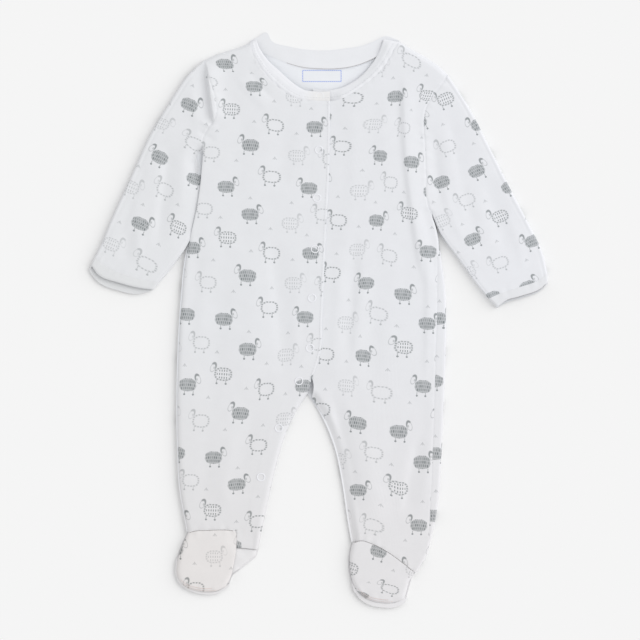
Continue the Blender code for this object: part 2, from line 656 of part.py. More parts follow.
def neckband():
    """The ring round the neck: a flat back, and two fronts that lap where they are fastened."""
    plan = strip(BAND_TOP, split(chain(*back_neck()), 3), (0, 1))
    cloth("neckband_back", [raised(plan, 0)], "plain_jersey", outside_up=False)
    roll_in = BAND_DIP * (1 - np.array(BAND_SHARES)[:, None]) ** 2
    plan = strip(BAND_INNER_OVER, split(neckline_over()), BAND_SHARES)
    end = flow((BAND_INNER_OVER[0], NECKLINE_OVER[0]))
    height = BAND_END + (LAID - roll_in - BAND_END) * rise(away(plan, end), BAND_REACH)
    cloth("neckband_over", [raised(plan, height)], "plain_jersey")
    plan = strip(BAND_INNER_UNDER, split(neckline_under()), BAND_SHARES)
    end = flow((BAND_INNER_UNDER[-1], NECKLINE_UNDER[-1]))
    height = BAND_END + (LAID - roll_in - BAND_END) * rise(away(plan, end), BAND_REACH)
    free = soft_step((plan[..., 0] - BAND_INNER_OVER[-1][0] - 0.5) / LAP_RAMP)
    height = BAND_LAP + (height - BAND_LAP) * free
    cloth("neckband_under", [raised(plan, height)], "plain_jersey")


# Feet --------------------------------------------------------------------------------------------


def instep(side, top, toe, left, right):
    """The printed top of a foot, turned down to the sole all round but at the ankle."""
    lips = (left, toe, right)
    toe, left, right = (
        places(line, shares)
        for line, shares in (
            (toe, shares_of(top)),
            (left, crowded(FOOT_ROWS, PLAIN, FOOT_SHARES)),
            (right, crowded(FOOT_ROWS, PLAIN, FOOT_SHARES)),
        )
    )
    plan = stretched(top, toe, left, right)
    height = np.full(plan.shape[:-1], LAID)
    for lip in lips:
        height = LIP + (height - LIP) * rise(away(plan, lip), TURN)
    cloth("instep_" + side, [raised(plan, height)], "printed_jersey", lip=True)


def sole(side, top, toe, left, right):
    """The flat underside of a foot, which shows past the instep round the toes."""
    toe = places(toe, shares_of(split(top)))
    plan = stretched(split(top), toe, steps(left, SOLE_ROWS), steps(right, SOLE_ROWS))
    cloth("sole_" + side, [raised(plan, 0)], "plain_jersey", outside_up=False)


def heel():
    """The left heel, folded up beside the instep."""
    inner = flow(HEEL_INNER)
    outer = flow(HEEL_OUTER)
    top = places(flow((inner[0], outer[0])), crowded(6, PLAIN, HEEL_SHARES))
    bottom = flow((inner[-1], outer[-1]))
    plan = stretched(
        top, places(bottom, shares_of(top)), places(inner, crowded(HEEL_ROWS, PLAIN, HEEL_SHARES)),
        places(outer, crowded(HEEL_ROWS, PLAIN, HEEL_SHARES)),
    )
    height = LIP + (HEEL_TOP - LIP) * rise(away(plan, outer), TURN)
    cloth("heel_left", [raised(plan, height)], "plain_jersey", lip=True)


def feet():
    """Both feet."""
    ankle = moved(steps(flow(ANKLE_LEFT), 11, ANKLE_SHARES), 0, -SLOPED_GAP)
    ankle[-1] -= (SLOPED_GAP, 0)
    instep(
        "left", cut_through(ankle, crowded(12, PLAIN, FOOT_SHARES)), flow(FOOT_LEFT_TOE),
        flow(FOOT_LEFT_OUTER), moved(flow(FOOT_LEFT_INNER), -SLOPED_GAP, -SLOPED_GAP),
    )
    instep(
        "right", moved(ankle_right(), -SLOPED_GAP / 2, -SLOPED_GAP), flow(FOOT_RIGHT_TOE),
        flow(FOOT_RIGHT_INNER), flow(FOOT_RIGHT_OUTER),
    )
    heel()
    sole(
        "left", moved(heel_seam_left(), 0, -GAP), flow(SOLE_LEFT_TOE), flow(SOLE_LEFT_OUTER),
        flow(SOLE_LEFT_INNER),
    )
    sole(
        "right", moved(heel_seam_right(), -GAP / 2, -SLOPED_GAP), flow(SOLE_RIGHT_TOE),
        flow(SOLE_RIGHT_INNER), flow(SOLE_RIGHT_OUTER),
    )


# Poppers -----------------------------------------------------------------------------------------


def popper(number, place):
    """A dished cap, turned from its profile, on the upper front or the neckband."""
    profile = (
        (0, POPPER_DISH), (0.55 * POPPER_RADIUS, POPPER_DISH), (0.9 * POPPER_RADIUS, POPPER_HEIGHT),
        (POPPER_RADIUS, 0.35 * POPPER_HEIGHT), (POPPER_RADIUS, 0), (0, 0),
    )
    name = f"popper_{number}"
    mesh = bpy.data.meshes.new(name)
    mesh.from_pydata([(r * MM, 0, z * MM) for r, z in profile], [(i, i + 1) for i in range(5)], [])
    mesh.materials.append(finish("popper_plastic"))
    cap = placed(name, mesh)
    cap.location = (place.x * MM, place.y * MM, (LAID + GAP) * MM)
    turn = cap.modifiers.new("Turned", "SCREW")
    turn.steps = turn.render_steps = POPPER_STEPS
    turn.use_merge_vertices = True
    turn.merge_threshold = 1e-5
    turn.use_smooth_shade = True


def main():
    """Builds the suit in an empty scene."""
    for old in list(bpy.data.objects):
        bpy.data.objects.remove(old, do_unlink=True)
    bpy.context.scene.collection.children.link(bpy.data.collections.new(SUIT))
    back_panel()
    front_over()
    front_under()
    sleeve_and_cuff("left")
    sleeve_and_cuff("right")
    neckband()
    feet()
    for number, place in enumerate(POPPERS, 1):
        popper(number, place)


main()
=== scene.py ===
"""A footed baby sleepsuit of sheep-printed cotton jersey, laid flat on its back.

The shapes are worked out in millimetres in the shared frame and become metres where a mesh is
made. +Y runs from the feet to the neck, +X to the side of the lower front, +Z up out of the cloth.
Left is -X and right is +X, seen from above. Every cloth piece is a thin shell: its outer face is a
grid worked out with numpy, and a Solidify modifier gives it its wall.
"""

import logging
import math
from collections.abc import Sequence
from dataclasses import dataclass, field
from enum import Enum, IntEnum
from functools import reduce
from typing import Any

import bpy
import numpy as np
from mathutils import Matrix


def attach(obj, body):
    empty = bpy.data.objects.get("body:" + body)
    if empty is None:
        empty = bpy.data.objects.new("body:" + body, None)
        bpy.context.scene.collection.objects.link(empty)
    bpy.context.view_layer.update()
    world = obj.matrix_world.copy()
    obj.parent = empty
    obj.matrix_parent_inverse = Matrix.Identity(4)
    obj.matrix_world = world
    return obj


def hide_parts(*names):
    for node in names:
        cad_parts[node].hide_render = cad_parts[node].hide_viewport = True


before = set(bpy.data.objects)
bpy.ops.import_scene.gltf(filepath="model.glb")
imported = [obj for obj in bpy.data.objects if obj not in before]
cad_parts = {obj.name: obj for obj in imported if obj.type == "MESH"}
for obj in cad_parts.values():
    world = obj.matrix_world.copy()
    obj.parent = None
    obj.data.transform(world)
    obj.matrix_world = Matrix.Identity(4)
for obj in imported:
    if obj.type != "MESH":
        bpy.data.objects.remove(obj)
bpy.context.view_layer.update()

log = logging.getLogger("sleepsuit")

MM = 0.001
Pair = tuple[float, float]  # a point, or two sizes
Knots = tuple[Pair, ...]
Color = tuple[float, ...]
Array = np.ndarray
Material = bpy.types.Material
Socket = bpy.types.NodeSocket
Wire = Socket | float

# Sizes in millimetres that the pieces share.
WALL = 1.1  # one layer of jersey
FOLDED_WALL = 1.4  # a turned hem, or a sole with its seam allowance
BAND_WALL = 1.3  # the back of the neckband
LAID = 7.0  # top of the fronts above the surface
ROLL = LAID / 2  # radius of a folded edge
LIP = 1.5  # where a front's edge stands on the back
TURN = 4.6  # how far in from its edge a front turns down
RIM = 1.25  # how far the back shows past the upper front
SEAM_GAP = 0.008  # from a seam line to the cloth on each side
SEAM_DIP = 0.36  # how deep the cloth is drawn down at a seam
SEAM_REACH = 1.7  # how far from a seam the cloth is drawn down
SIDE_DIP = (0.2, 1.5)  # the same two for the flat side seam
SIDE_PUCKER = 0.1  # how high the ripples of that seam go
HEM_DIP = (0.12, 1.0)  # and for the seam of a cuff
HEEL_TURN = (0.5, 1.0)  # how far the edges at the left heel turn down, over which width
CLOSE_ROWS = (0, 0.35, 0.8, 1.4, 2.1, 3.0, 4.1)  # rows beside a seam, as distances from it

DENSE = 320  # points on a finely drawn line
CHUNK = 4000  # points measured at a time
WELD = 2e-6  # points nearer than this, in metres, become one
UNDULATION = 3  # the seed of the cloth's faint undulation
WAVES = 12  # how many waves make it up
FOOT_LIFT = 0.3  # how high it goes on the feet

# Edge lines as x, y, each from the neck down or from left to right.
SHOULDER_LEFT: Knots = ((-115, 260), (-106.5, 264), (-91.5, 269.5), (-78.5, 273.5), (-68.5, 278))
SHOULDER_RIGHT: Knots = (
    (81.5, 278.5), (94.5, 270.5), (108.5, 262.5), (121.5, 253.5), (129.5, 245.5),
)
NECKLINE_OVER: Knots = (
    (-68.5, 278), (-65.5, 267.5), (-60.5, 258.5), (-51.5, 245.5), (-41.5, 235.5), (-31.5, 227.5),
    (-21.5, 222.5), (-5.5, 220), (11.5, 219.5),
)
NECKLINE_UNDER: Knots = (
    (-5.5, 219.5), (11.8, 219.5), (26.5, 223), (38.5, 230.5), (54.5, 242.5), (67.5, 256.5),
    (75.5, 270.5), (81.5, 278.5),
)
BACK_NECK: Knots = (
    (-68.5, 278), (-60.5, 270.5), (-48.5, 264.5), (-33.5, 258.5), (-15.5, 253.5), (3.5, 252),
    (22.5, 252.5), (38.5, 255.5), (55.5, 262.5), (69.5, 271.5), (81.5, 278.5),
)
BAND_TOP: Knots = (
    (-67.8, 280), (-60.5, 284), (-52.5, 288.4), (-46.5, 279.5), (-30.5, 274.5), (-5.5, 270.5),
    (11.5, 270.5), (28.5, 272.5), (43.5, 275), (55.5, 279.5), (66.5, 284.5), (80.5, 280.5),
)
BAND_INNER_OVER: Knots = (
    (-62.5, 281), (-58.5, 271.5), (-52.5, 262.5), (-38.5, 249), (-25.5, 237.5), (-15.5, 231),
    (-2.5, 229), (11.5, 229),
)
BAND_INNER_UNDER: Knots = (
    (-5.5, 232), (11.5, 230.5), (24.5, 233.5), (33.5, 238), (43.5, 245.5), (52.5, 255.5),
    (59.5, 266.5), (65.5, 281.5),
)
ARMHOLE_LEFT: Knots = (
    (-115, 260), (-110.5, 245.5), (-105.5, 230.5), (-102, 217.5), (-102, 206.5), (-110.5, 191.5),
    (-115.5, 181.5), (-115.5, 165.5),
)
ARMHOLE_RIGHT: Knots = (
    (129.5, 245.5), (121.5, 233.5), (113.5, 223.5), (107.5, 212.5), (105.5, 200.5),
    (106.5, 175.5), (107.5, 145.5), (108.5, 120.5), (112.5, 107.5),
)
SIDE_LEFT: Knots = (
    (-115.5, 165.5), (-118.5, 133.5), (-123.5, 103.5), (-133.5, 63.5), (-138, 20.5),
    (-141, -29.5), (-142.2, -79.5), (-141.5, -129.5), (-139.2, -169.5), (-134.5, -196.5),
    (-131.5, -212.5),
)
SIDE_RIGHT: Knots = (
    (112.5, 107.5), (118, 90.5), (122.5, 63.5), (126.5, 33.5), (127.8, 0.5), (127.5, -29.5),
    (125.5, -79.5), (122.8, -139.5), (119, -186.5), (113.5, -214.5), (107.5, -235.5),
    (97.5, -252.5),
)
PLACKET: Knots = (
    (11.5, 219.5), (10.5, 150.5), (7, 80.5), (3.5, 0.5), (2, -30.5), (-2.5, -46.5),
    (-7.5, -60.5), (-11, -73.5),
)
LAP_EDGE: Knots = (
    (-5.5, 219.5), (-6.5, 150.5), (-10, 80.5), (-13.5, 0.5), (-11.5, -38), (-6.8, -56),
    (-4.8, -66), (-6.5, -77.2),
)
LEG_LEFT_INNER: Knots = (
    (-11, -73.5), (-18.5, -84.5), (-30.5, -107.5), (-41.5, -141.5), (-48.5, -171.5),
    (-54.5, -199.5), (-60.5, -229),
)
LEG_RIGHT_INNER: Knots = (
    (-11, -73.5), (3.5, -96.5), (15.5, -125.5), (23.5, -162.5), (29, -199.5), (33, -222.5),
)
ANKLE_LEFT: Knots = (
    (-131, -212.5), (-124.5, -210.5), (-108.5, -209.5), (-92.5, -209.2), (-82, -210.5),
)
ANKLE_RIGHT: Knots = (
    (33.3, -222.5), (43.5, -220), (53.5, -223), (69.5, -231.5), (83.5, -241.5), (97.3, -252.5),
)
HEEL_CORNER: Pair = (-82.0, -227.0)
HEEL_INNER: Knots = ((-81.3, -227.7), (-82.3, -236), (-84, -244.5), (-86.2, -254.8))
HEEL_OUTER: Knots = ((-61.9, -229.7), (-63, -235), (-70, -241.2), (-79, -248.4))
FOOT_LEFT_OUTER: Knots = (
    (-131, -213.3), (-136.5, -225.5), (-141, -241.5), (-141.5, -253.5), (-139, -261.5),
)
FOOT_LEFT_TOE: Knots = (
    (-139, -261.5), (-132.5, -267), (-123.5, -270), (-112.5, -271.5), (-101.5, -270.5),
    (-92, -265.5),
)
FOOT_LEFT_INNER: Knots = (
    (-82, -210.5), (-82.5, -229.5), (-85, -244.5), (-87.5, -255.5), (-92, -265.5),
)
SOLE_LEFT_OUTER: Knots = (
    (-131.5, -212.5), (-137.5, -225.5), (-142.5, -241.5), (-143, -253.5), (-140.5, -261.5),
)
SOLE_LEFT_TOE: Knots = (
    (-140.5, -261.5), (-133.5, -268), (-124.5, -272), (-112.5, -274), (-100.5, -273),
    (-90, -266.5),
)
SOLE_LEFT_INNER: Knots = (
    (-60.5, -229), (-61.5, -234.5), (-69, -242), (-78.5, -249.5), (-86, -255.5), (-90, -266.5),
)
FOOT_RIGHT_INNER: Knots = (
    (33.8, -222.5), (31.3, -235.5), (31.5, -247.5), (33.5, -259.5), (38, -270.5),
)
FOOT_RIGHT_TOE: Knots = (
    (38, -270.5), (47.5, -278), (59.5, -281.8), (72.5, -282.5), (85.5, -279),
)
FOOT_RIGHT_OUTER: Knots = ((96, -252.5), (91, -260.5), (88.5, -269.5), (85.5, -279))
SOLE_RIGHT_INNER: Knots = (
    (33, -222.5), (30.1, -235.5), (30, -247.5), (32, -259.5), (35.5, -271),
)
SOLE_RIGHT_TOE: Knots = (
    (35.5, -271), (42.5, -279.5), (52.5, -285), (64.5, -287.1), (76.5, -286.9), (86.5, -282.5),
)
SOLE_RIGHT_OUTER: Knots = ((97.5, -252.5), (92.5, -260.5), (90, -269.5), (86.5, -282.5))

POPPER_PLACES: Knots = (
    (1.5, 224.6), (0.5, 170.5), (-1.5, 122.5), (-3.5, 71.5), (-6.5, 22.5), (-8.5, -27.5),
    (-19.5, -60.5), (-39.5, -107.5), (-57.5, -156.5),
)


class Side(Enum):
    """The two sides of the suit, seen from above."""

    LEFT = "left"
    RIGHT = "right"


class Slot(Enum):
    """The material slots of the record."""

    PRINTED = "printed_jersey"
    PLAIN = "plain_jersey"
    PLASTIC = "popper_plastic"


class Seam(IntEnum):
    """The puckered seams, each with the seed of its ripples, which both its pieces share."""

    NECK_OVER = 11
    ARM_LEFT = 12
    ANKLE_LEFT = 13
    NECK_UNDER = 21
    ARM_RIGHT = 22
    SIDE_RIGHT = 23
    ANKLE_RIGHT = 24
    BAND_OVER = 31
    BAND_UNDER = 32
    INSTEP_LEFT = 42
    TOE_LEFT = 43
    INSTEP_RIGHT = 46
    TOE_RIGHT = 47
    HEM_LEFT = 53
    HEM_RIGHT = 63


# Lines and plans ---------------------------------------------------------------------------------


def flow(knots: Knots | Array) -> Array:
    """Draws a smooth line through knots: a cubic Hermite curve with central slopes.

    Args:
        knots: Points as x, y.

    Returns:
        DENSE points, evenly spaced by chord length.
    """
    corners = np.array(knots, float)
    along = lengths(corners)
    slope = np.gradient(corners, along, axis=0)
    at = np.linspace(0, along[-1], DENSE)
    i = np.clip(np.searchsorted(along, at, side="right") - 1, 0, len(along) - 2)
    step = (along[i + 1] - along[i])[:, None]
    t = (at - along[i])[:, None] / step
    return (
        (2 * t**3 - 3 * t**2 + 1) * corners[i]
        + (t**3 - 2 * t**2 + t) * step * slope[i]
        + (3 * t**2 - 2 * t**3) * corners[i + 1]
        + (t**3 - t**2) * step * slope[i + 1]
    )


def lengths(line: Array) -> Array:
    """Measures how far along the line each of its points is."""
    return np.concatenate([[0], np.cumsum(np.sqrt((np.diff(line, axis=0) ** 2).sum(1)))])


def shares_of(line: Array) -> Array:
    """Gives where each point of the line is, as a share of its length."""
    return lengths(line) / lengths(line)[-1]


def places(line: Array, shares: Array) -> Array:
    """Finds points of a line at shares of its length.

    Args:
        line: Points as rows.
        shares: From 0 to 1.

    Returns:
        One point for each share.
    """
    along = lengths(line)
    at = np.asarray(shares) * along[-1]
    return np.stack([np.interp(at, along, line[:, k]) for k in range(line.shape[1])], axis=1)


def steps(line: Array, count: int) -> Array:
    """Cuts the line into equal intervals."""
    return places(line, np.linspace(0, 1, count + 1))


def chain(*parts: Array) -> Array:
    """Puts point rows end to end, each starting where the last one stopped."""
    return np.vstack([parts[0]] + [part[1:] for part in parts[1:]])


def crowded(count: int, width: float, first: bool = True, last: bool = True) -> Array:
    """Shares a width out in count intervals, with close rows for a seam at the chosen ends.

    Args:
        count: How many intervals.
        width: The width in millimetres.
        first: Whether the start is a seam or edge.
        last: Whether the end is one.

    Returns:
        count + 1 shares from 0 to 1.
    """
    near = np.array(CLOSE_ROWS) / width
    start = near if first else near[:1]
    end = near if last else near[:1]
    inner = np.linspace(start[-1], 1 - end[-1], count - len(start) - len(end) + 3)
    return np.concatenate([start[:-1], inner, 1 - end[-2::-1]])


def stretched(top: Array, bottom: Array, left: Array, right: Array) -> Array:
    """Stretches a plan between four edges, as a Coons patch: the blend of both pairs of edges less
    the blend of the four corners.

    Args:
        top: The upper edge, from left to right.
        bottom: The lower edge, with as many points.
        left: The left edge, from the top down.
        right: The right edge, with as many points.

    Returns:
        Plan points, rows by columns by x, y.
    """
    left, right = left.copy(), right.copy()
    left[0], right[0], left[-1], right[-1] = top[0], top[-1], bottom[0], bottom[-1]
    down = [shares_of(side) for side in (left, right)]
    across = [shares_of(side) for side in (top, bottom)]
    u_middle, v_middle = sum(across)[None, :, None] / 2, sum(down)[:, None, None] / 2
    u = (1 - v_middle) * across[0][None, :, None] + v_middle * across[1][None, :, None]
    v = (1 - u_middle) * down[0][:, None, None] + u_middle * down[1][:, None, None]
    corners = (
        (1 - u) * (1 - v) * top[0]
        + u * (1 - v) * top[-1]
        + (1 - u) * v * bottom[0]
        + u * v * bottom[-1]
    )
    sides = (1 - u) * left[:, None] + u * right[:, None]
    return (1 - v) * top[None] + v * bottom[None] + sides - corners


def spread(edges: Sequence[Array], across: Array, down: Array) -> Array:
    """Stretches a plan between four edges, with its points at given shares of them.

    Args:
        edges: The upper, lower, left and right edges.
        across: The shares of the upper and lower edge.
        down: The shares of the left and right edge.

    Returns:
        Plan points, rows by columns by x, y.
    """
    shares = (across, across, down, down)
    return stretched(*(places(edge, at) for edge, at in zip(edges, shares, strict=True)))


def moved(points: Array, x: float = 0.0, y: float = 0.0) -> Array:
    """Shifts points in the plane."""
    return np.asarray(points, float) + (x, y)


def away(plan: Array, line: Array) -> Array:
    """Measures how far each point of a plan is from a drawn line, as the least distance to any of
    the line's points and to the segments between them.

    Args:
        plan: Points, in any arrangement, as x, y in the last axis.
        line: The line's points.

    Returns:
        Distances, arranged as the plan.
    """
    flat = plan.reshape(-1, 2)
    start, run = line[:-1], np.diff(line, axis=0)
    least = np.full(len(flat), np.inf)
    for low in range(0, len(flat), CHUNK):
        part = flat[low : low + CHUNK, None] - start[None]
        t = np.clip((part * run).sum(2) / np.maximum((run**2).sum(1), 1e-12), 0, 1)
        least[low : low + CHUNK] = np.sqrt(((part - t[..., None] * run) ** 2).sum(2).min(1))
    return least.reshape(plan.shape[:-1])


def read(line: Array, y: Array) -> Array:
    """Reads the x of a line that runs down the suit, at each y."""
    order = np.argsort(line[:, 1])
    return np.interp(y, line[order, 1], line[order, 0])


# Heights -----------------------------------------------------------------------------------------


def rise(distance: Array, reach: float, power: int = 2) -> Array:
    """Rises from 0 at an edge to 1 at its reach: a quarter ellipse, squarer at a higher power."""
    return np.sqrt(1 - (1 - np.clip(distance / reach, 0, 1)) ** power)


def soft_step(value: Array) -> Array:
    """Rises from 0 to 1 with level ends: 3t^2 - 2t^3."""
    t = np.clip(value, 0, 1)
    return t * t * (3 - 2 * t)


def between(low: Array | float, high: Array | float, share: Array) -> Array:
    """Goes from low, where the share is 0, to high, where it is 1."""
    return low + (high - low) * share


def drawn_down(distance: Array, depth: float = SEAM_DIP, reach: float = SEAM_REACH) -> Array:
    """Lowers the cloth beside a seam by its depth: a smooth valley, level at the seam itself."""
    return -depth * (1 - soft_step(distance / reach))


def turned_down(distance: Array, depth: float, reach: float) -> Array:
    """Lowers the cloth at a folded edge by its depth, as a quarter ellipse."""
    return -depth * (1 - rise(distance, reach))


def pressed(distance: Array, at: float, depth: float = 0.4, reach: float = 0.8) -> Array:
    """Presses a fine line beside a folded edge: a bell-shaped groove at a distance from it."""
    return -depth * np.exp(-(((distance - at) / reach) ** 2))


def raised(plan: Array, height: Array | float) -> Array:
    """Joins a plan and its heights into one grid of x, y, z points."""
    high = np.broadcast_to(height, plan.shape[:-1])[..., None]
    return np.concatenate([plan, high], axis=-1)


@dataclass(frozen=True)
class Crease:
    """A fold in the cloth along a quadratic curve through three points.

    Its cross-section is a bell that is wider on one side by its skew, and both ends fade away.
    """

    start: Pair
    middle: Pair
    end: Pair
    reach: float
    height: float
    skew: float = 0.0
    fade: float = 0.3
    points: int = 40

    def over(self, plan: Array) -> Array:
        """Works out how much the fold lifts each point of a plan.

        Args:
            plan: Points as x, y in the last axis.

        Returns:
            Heights, arranged as the plan.
        """
        t = np.linspace(0, 1, self.points)
        start, middle, end = (np.array(p, float) for p in (self.start, self.middle, self.end))
        bend = 2 * middle - (start + end) / 2
        along = t[:, None]
        line = (1 - along) ** 2 * start + 2 * along * (1 - along) * bend + along**2 * end
        slope = np.gradient(line, axis=0)
        slope /= np.sqrt((slope**2).sum(1))[:, None]
        total = np.zeros(plan.shape[:-1])
        low, high = line.min(0) - 3 * self.reach, line.max(0) + 3 * self.reach
        near = ((plan >= low) & (plan <= high)).all(-1)
        if not near.any():
            return total
        off = plan[near][:, None] - line
        i = (off**2).sum(-1).argmin(-1)
        rest = off[np.arange(len(i)), i]
        run = (rest * slope[i]).sum(-1)
        across = slope[i, 0] * rest[:, 1] - slope[i, 1] * rest[:, 0]
        step = np.sqrt((np.diff(line, axis=0) ** 2).sum(1)).mean()
        at = np.clip(t[i] + run / (step * (len(t) - 1)), 0, 1)
        fade = soft_step(at / self.fade) * soft_step((1 - at) / self.fade)
        beyond = np.maximum(np.abs(run) - step, 0)
        width = self.reach * (1 + self.skew * np.sign(across))
        total[near] = self.height * fade * np.exp(-((across**2 + beyond**2) / width**2))
        return total


# The folds: start, middle, end, reach, height, skew and fade. The most
# visible ones come first.
CREASES = tuple(Crease(*fold) for fold in (
    ((86.5, 250), (89.5, 148), (109.5, 25), 7.1, 2.1, 0.55, 0.2),
    ((107, 75), (109.5, 10), (106, -75), 6.0, 0.9, 0.5),
    ((38, 95), (33, 20), (27, -55), 8.0, -1.5, -0.25),
    ((12, -62), (27, -135), (38, -212), 7.0, -1.8, 0.2),
    ((104, -110), (93, -155), (86, -205), 7.5, -1.4, 0.3),
    ((62, 75), (54, -10), (52, -85), 11.0, -0.9),
    ((-48, 95), (-40, 20), (-34, -60), 10.0, -1.2, 0.25),
    ((-55, -75), (-70, -120), (-82, -180), 11.0, -0.8),
    ((-95, 60), (-103, -20), (-106, -110), 12.0, -0.8),
    ((-30, 215), (-36, 165), (-40, 115), 10.0, -0.9),
    ((-111, 258), (-108.4, 228), (-103.4, 192), 6.2, 3.9, 0.74, 0.22),
    ((-116, 262), (-112, 228), (-106.5, 192), 5.0, -2.2, -0.55, 0.22),
    ((-118.5, 178), (-119, 160), (-122, 138), 3.4, -2.6, -0.3),
    ((116, 195), (118, 150), (124, 110), 6.5, -1.4),
    ((-120, 201), (-110, 195), (-99, 193), 2.2, 0.8),
    ((-122, 190), (-112, 185), (-103, 179), 2.4, -0.8),
    ((-72, 256), (-58, 234), (-38, 216), 3.4, -0.6, 0.2),
    ((-84, 250), (-66, 226), (-44, 208), 5.0, 0.6, 0.2),
    ((-86, -232), (-72, -222), (-58, -222), 12.0, -1.8),
    ((-148, 182), (-154, 130), (-163, 62), 7.0, -1.5, 0.25),
    ((-189, 95), (-192, 75), (-192, 55), 6.5, -1.0),
    ((165, 150), (178, 105), (190, 60), 9.0, -0.9, 0.2),
    ((70, 250), (68, 190), (74, 120), 9.0, 0.5),
    ((-78, 240), (-80, 170), (-86, 110), 12.0, -0.5),
    ((-62, 60), (-66, 0), (-70, -70), 12.0, 0.5),
    ((-118, 110), (-124, 40), (-128, -40), 7.0, -0.5),
    ((112, -60), (110, -130), (102, -200), 5.0, 0.4),
    ((40, -90), (52, -150), (60, -215), 9.0, 0.5),
    ((70, -95), (74, -150), (72, -220), 9.0, -0.5),
    ((-108, -90), (-112, -150), (-110, -205), 9.0, -0.5),
    ((-84, -100), (-92, -150), (-96, -205), 7.0, 0.4),
    ((20, 60), (16, 0), (14, -45), 5.0, 0.5),
    ((22, 205), (24, 150), (22, 95), 8.0, -0.5),
    ((-14, 60), (-20, 10), (-20, -40), 7.0, 0.35),
    ((-170, 165), (-186, 120), (-204, 70), 6.0, -0.6, -0.3),
    ((-132, 190), (-134, 150), (-140, 100), 6.0, 0.5),
    ((-176, 110), (-180, 85), (-178, 50), 4.5, 0.5),
    ((-130, 238), (-124, 215), (-122, 190), 5.0, 0.5),
    ((140, 150), (152, 105), (168, 55), 6.0, -0.6),
    ((128, 210), (138, 170), (144, 130), 7.0, -0.6, 0.3),
    ((186, 110), (198, 82), (206, 45), 5.0, 0.5),
    ((120, 150), (132, 110), (150, 70), 4.5, 0.5),
))


def crumple(plan: Array, lift: float = 0.16) -> Array:
    """Sums the folds over a plan and the faint undulation of laid cloth.

    The undulation is the mean of twelve sine waves with seeded directions and phases, 26 to 90 mm
    long.

    Args:
        plan: Points as x, y in the last axis.
        lift: How high the undulation goes.

    Returns:
        Heights, arranged as the plan.
    """
    chance = np.random.default_rng(UNDULATION)
    turn, phase = chance.uniform(0, math.pi, WAVES), chance.uniform(0, 2 * math.pi, WAVES)
    wave = 2 * math.pi / chance.uniform(26, 90, WAVES)
    along = plan[..., :1] * np.cos(turn) + plan[..., 1:] * np.sin(turn)
    total = 2.2 * lift * np.sin(along * wave + phase).mean(-1)
    return total + sum(crease.over(plan) for crease in CREASES)


def puckered(plan: Array, line: Array, seam: Seam, lift: float = 0.22) -> Array:
    """Ripples the cloth along a seam, as tension in its thread does, dying away within 9 mm.

    Args:
        plan: Points as x, y in the last axis.
        line: The seam's line.
        seam: Which seam it is.
        lift: How high the ripples go.

    Returns:
        Heights, arranged as the plan.
    """
    chance = np.random.default_rng(seam.value)
    wave = 2 * math.pi / chance.uniform(6.5, 15, 5)
    phase, turn = chance.uniform(0, 2 * math.pi, 5), chance.uniform(-0.5, 0.5, 5)
    run = line[-1] - line[0]
    run /= np.sqrt((run**2).sum())
    ahead = plan @ run
    aside = plan @ np.array([-run[1], run[0]])
    ripple = np.sin((ahead[..., None] + turn * aside[..., None]) * wave + phase).mean(-1)
    return 2 * lift * ripple * np.exp(-((away(plan, line) / 5.5) ** 2))


def seamed(
    plan: Array, line: Array, seam: Seam, dip: Pair = (SEAM_DIP, SEAM_REACH), lift: float = 0.22
) -> Array:
    """Shapes the cloth beside a seam, drawn down to it and puckered by it.

    Args:
        plan: Points as x, y in the last axis.
        line: The seam's line.
        seam: Which seam it is.
        dip: How deep the cloth is drawn down, and how far from the seam.
        lift: How high the ripples go.

    Returns:
        Heights, arranged as the plan.
    """
    return drawn_down(away(plan, line), *dip) + puckered(plan, line, seam, lift)


# Meshes ------------------------------------------------------------------------------------------


@dataclass(frozen=True)
class Ease:
    """How the cloth of a piece is eased and pulled in its plane, in millimetres to the right and
    up, at the crossings of columns (from left to right) and rows (from the feet up)."""

    x: tuple[float, ...]
    y: tuple[float, ...]
    pulls: tuple[Knots, ...]

    def over(self, plan: Array) -> Array:
        """Reads the pull at each point of a plan, linear between the crossings.

        Args:
            plan: Points as x, y in the last axis.

        Returns:
            Pulls, arranged as the plan.
        """
        column, row = (
            np.stack([np.interp(plan[..., k], at, one) for one in np.eye(len(at))], -1)
            for k, at in enumerate((self.x, self.y))
        )
        return np.einsum("...i,...j,ijk->...k", row, column, np.array(self.pulls, float))


@dataclass(frozen=True)
class PrintLay:
    """How the printed cloth lies under a piece: where the chart's first sheep falls, how far its
    columns lean to the right on their way up, in degrees, and how it is eased."""

    x: float
    y: float
    lean: float = 0.0
    ease: Ease | None = None

    def chart(self, plan: Array) -> Array:
        """Turns plan points into chart points: moved to the first sheep and turned by the lean.

        Args:
            plan: Points in millimetres as x, y in the last axis.

        Returns:
            Points of the chart in metres.
        """
        a = math.radians(self.lean)
        off = plan - (self.x, self.y) - (self.ease.over(plan) if self.ease else 0)
        u = off[..., 0] * math.cos(a) - off[..., 1] * math.sin(a)
        v = off[..., 0] * math.sin(a) + off[..., 1] * math.cos(a)
        return np.stack([u, v], axis=-1) * MM


PLAIN_LAY = PrintLay(0, 0)


@dataclass
class Patch:
    """A grid of outer points in millimetres and their places on the cloth in metres."""

    points: Array
    cloth: Array

    def mirrored(self) -> "Patch":
        """Gives the patch with its columns the other way round, which turns its faces over."""
        return Patch(self.points[:, ::-1], self.cloth[:, ::-1])

    def height_at(self, spots: Array) -> Array:
        """Reads heights at spots, as the mean of the four nearest points weighted by nearness.

        Args:
            spots: Points as x, y in the last axis.

        Returns:
            Heights in millimetres.
        """
        flat = self.points.reshape(-1, 3)
        squared = ((spots[:, None] - flat[None, :, :2]) ** 2).sum(2)
        nearest = np.argpartition(squared, 4, axis=1)[:, :4]
        weight = 1 / (np.take_along_axis(squared, nearest, 1) + 0.05)
        return (flat[nearest, 2] * weight).sum(1) / weight.sum(1)


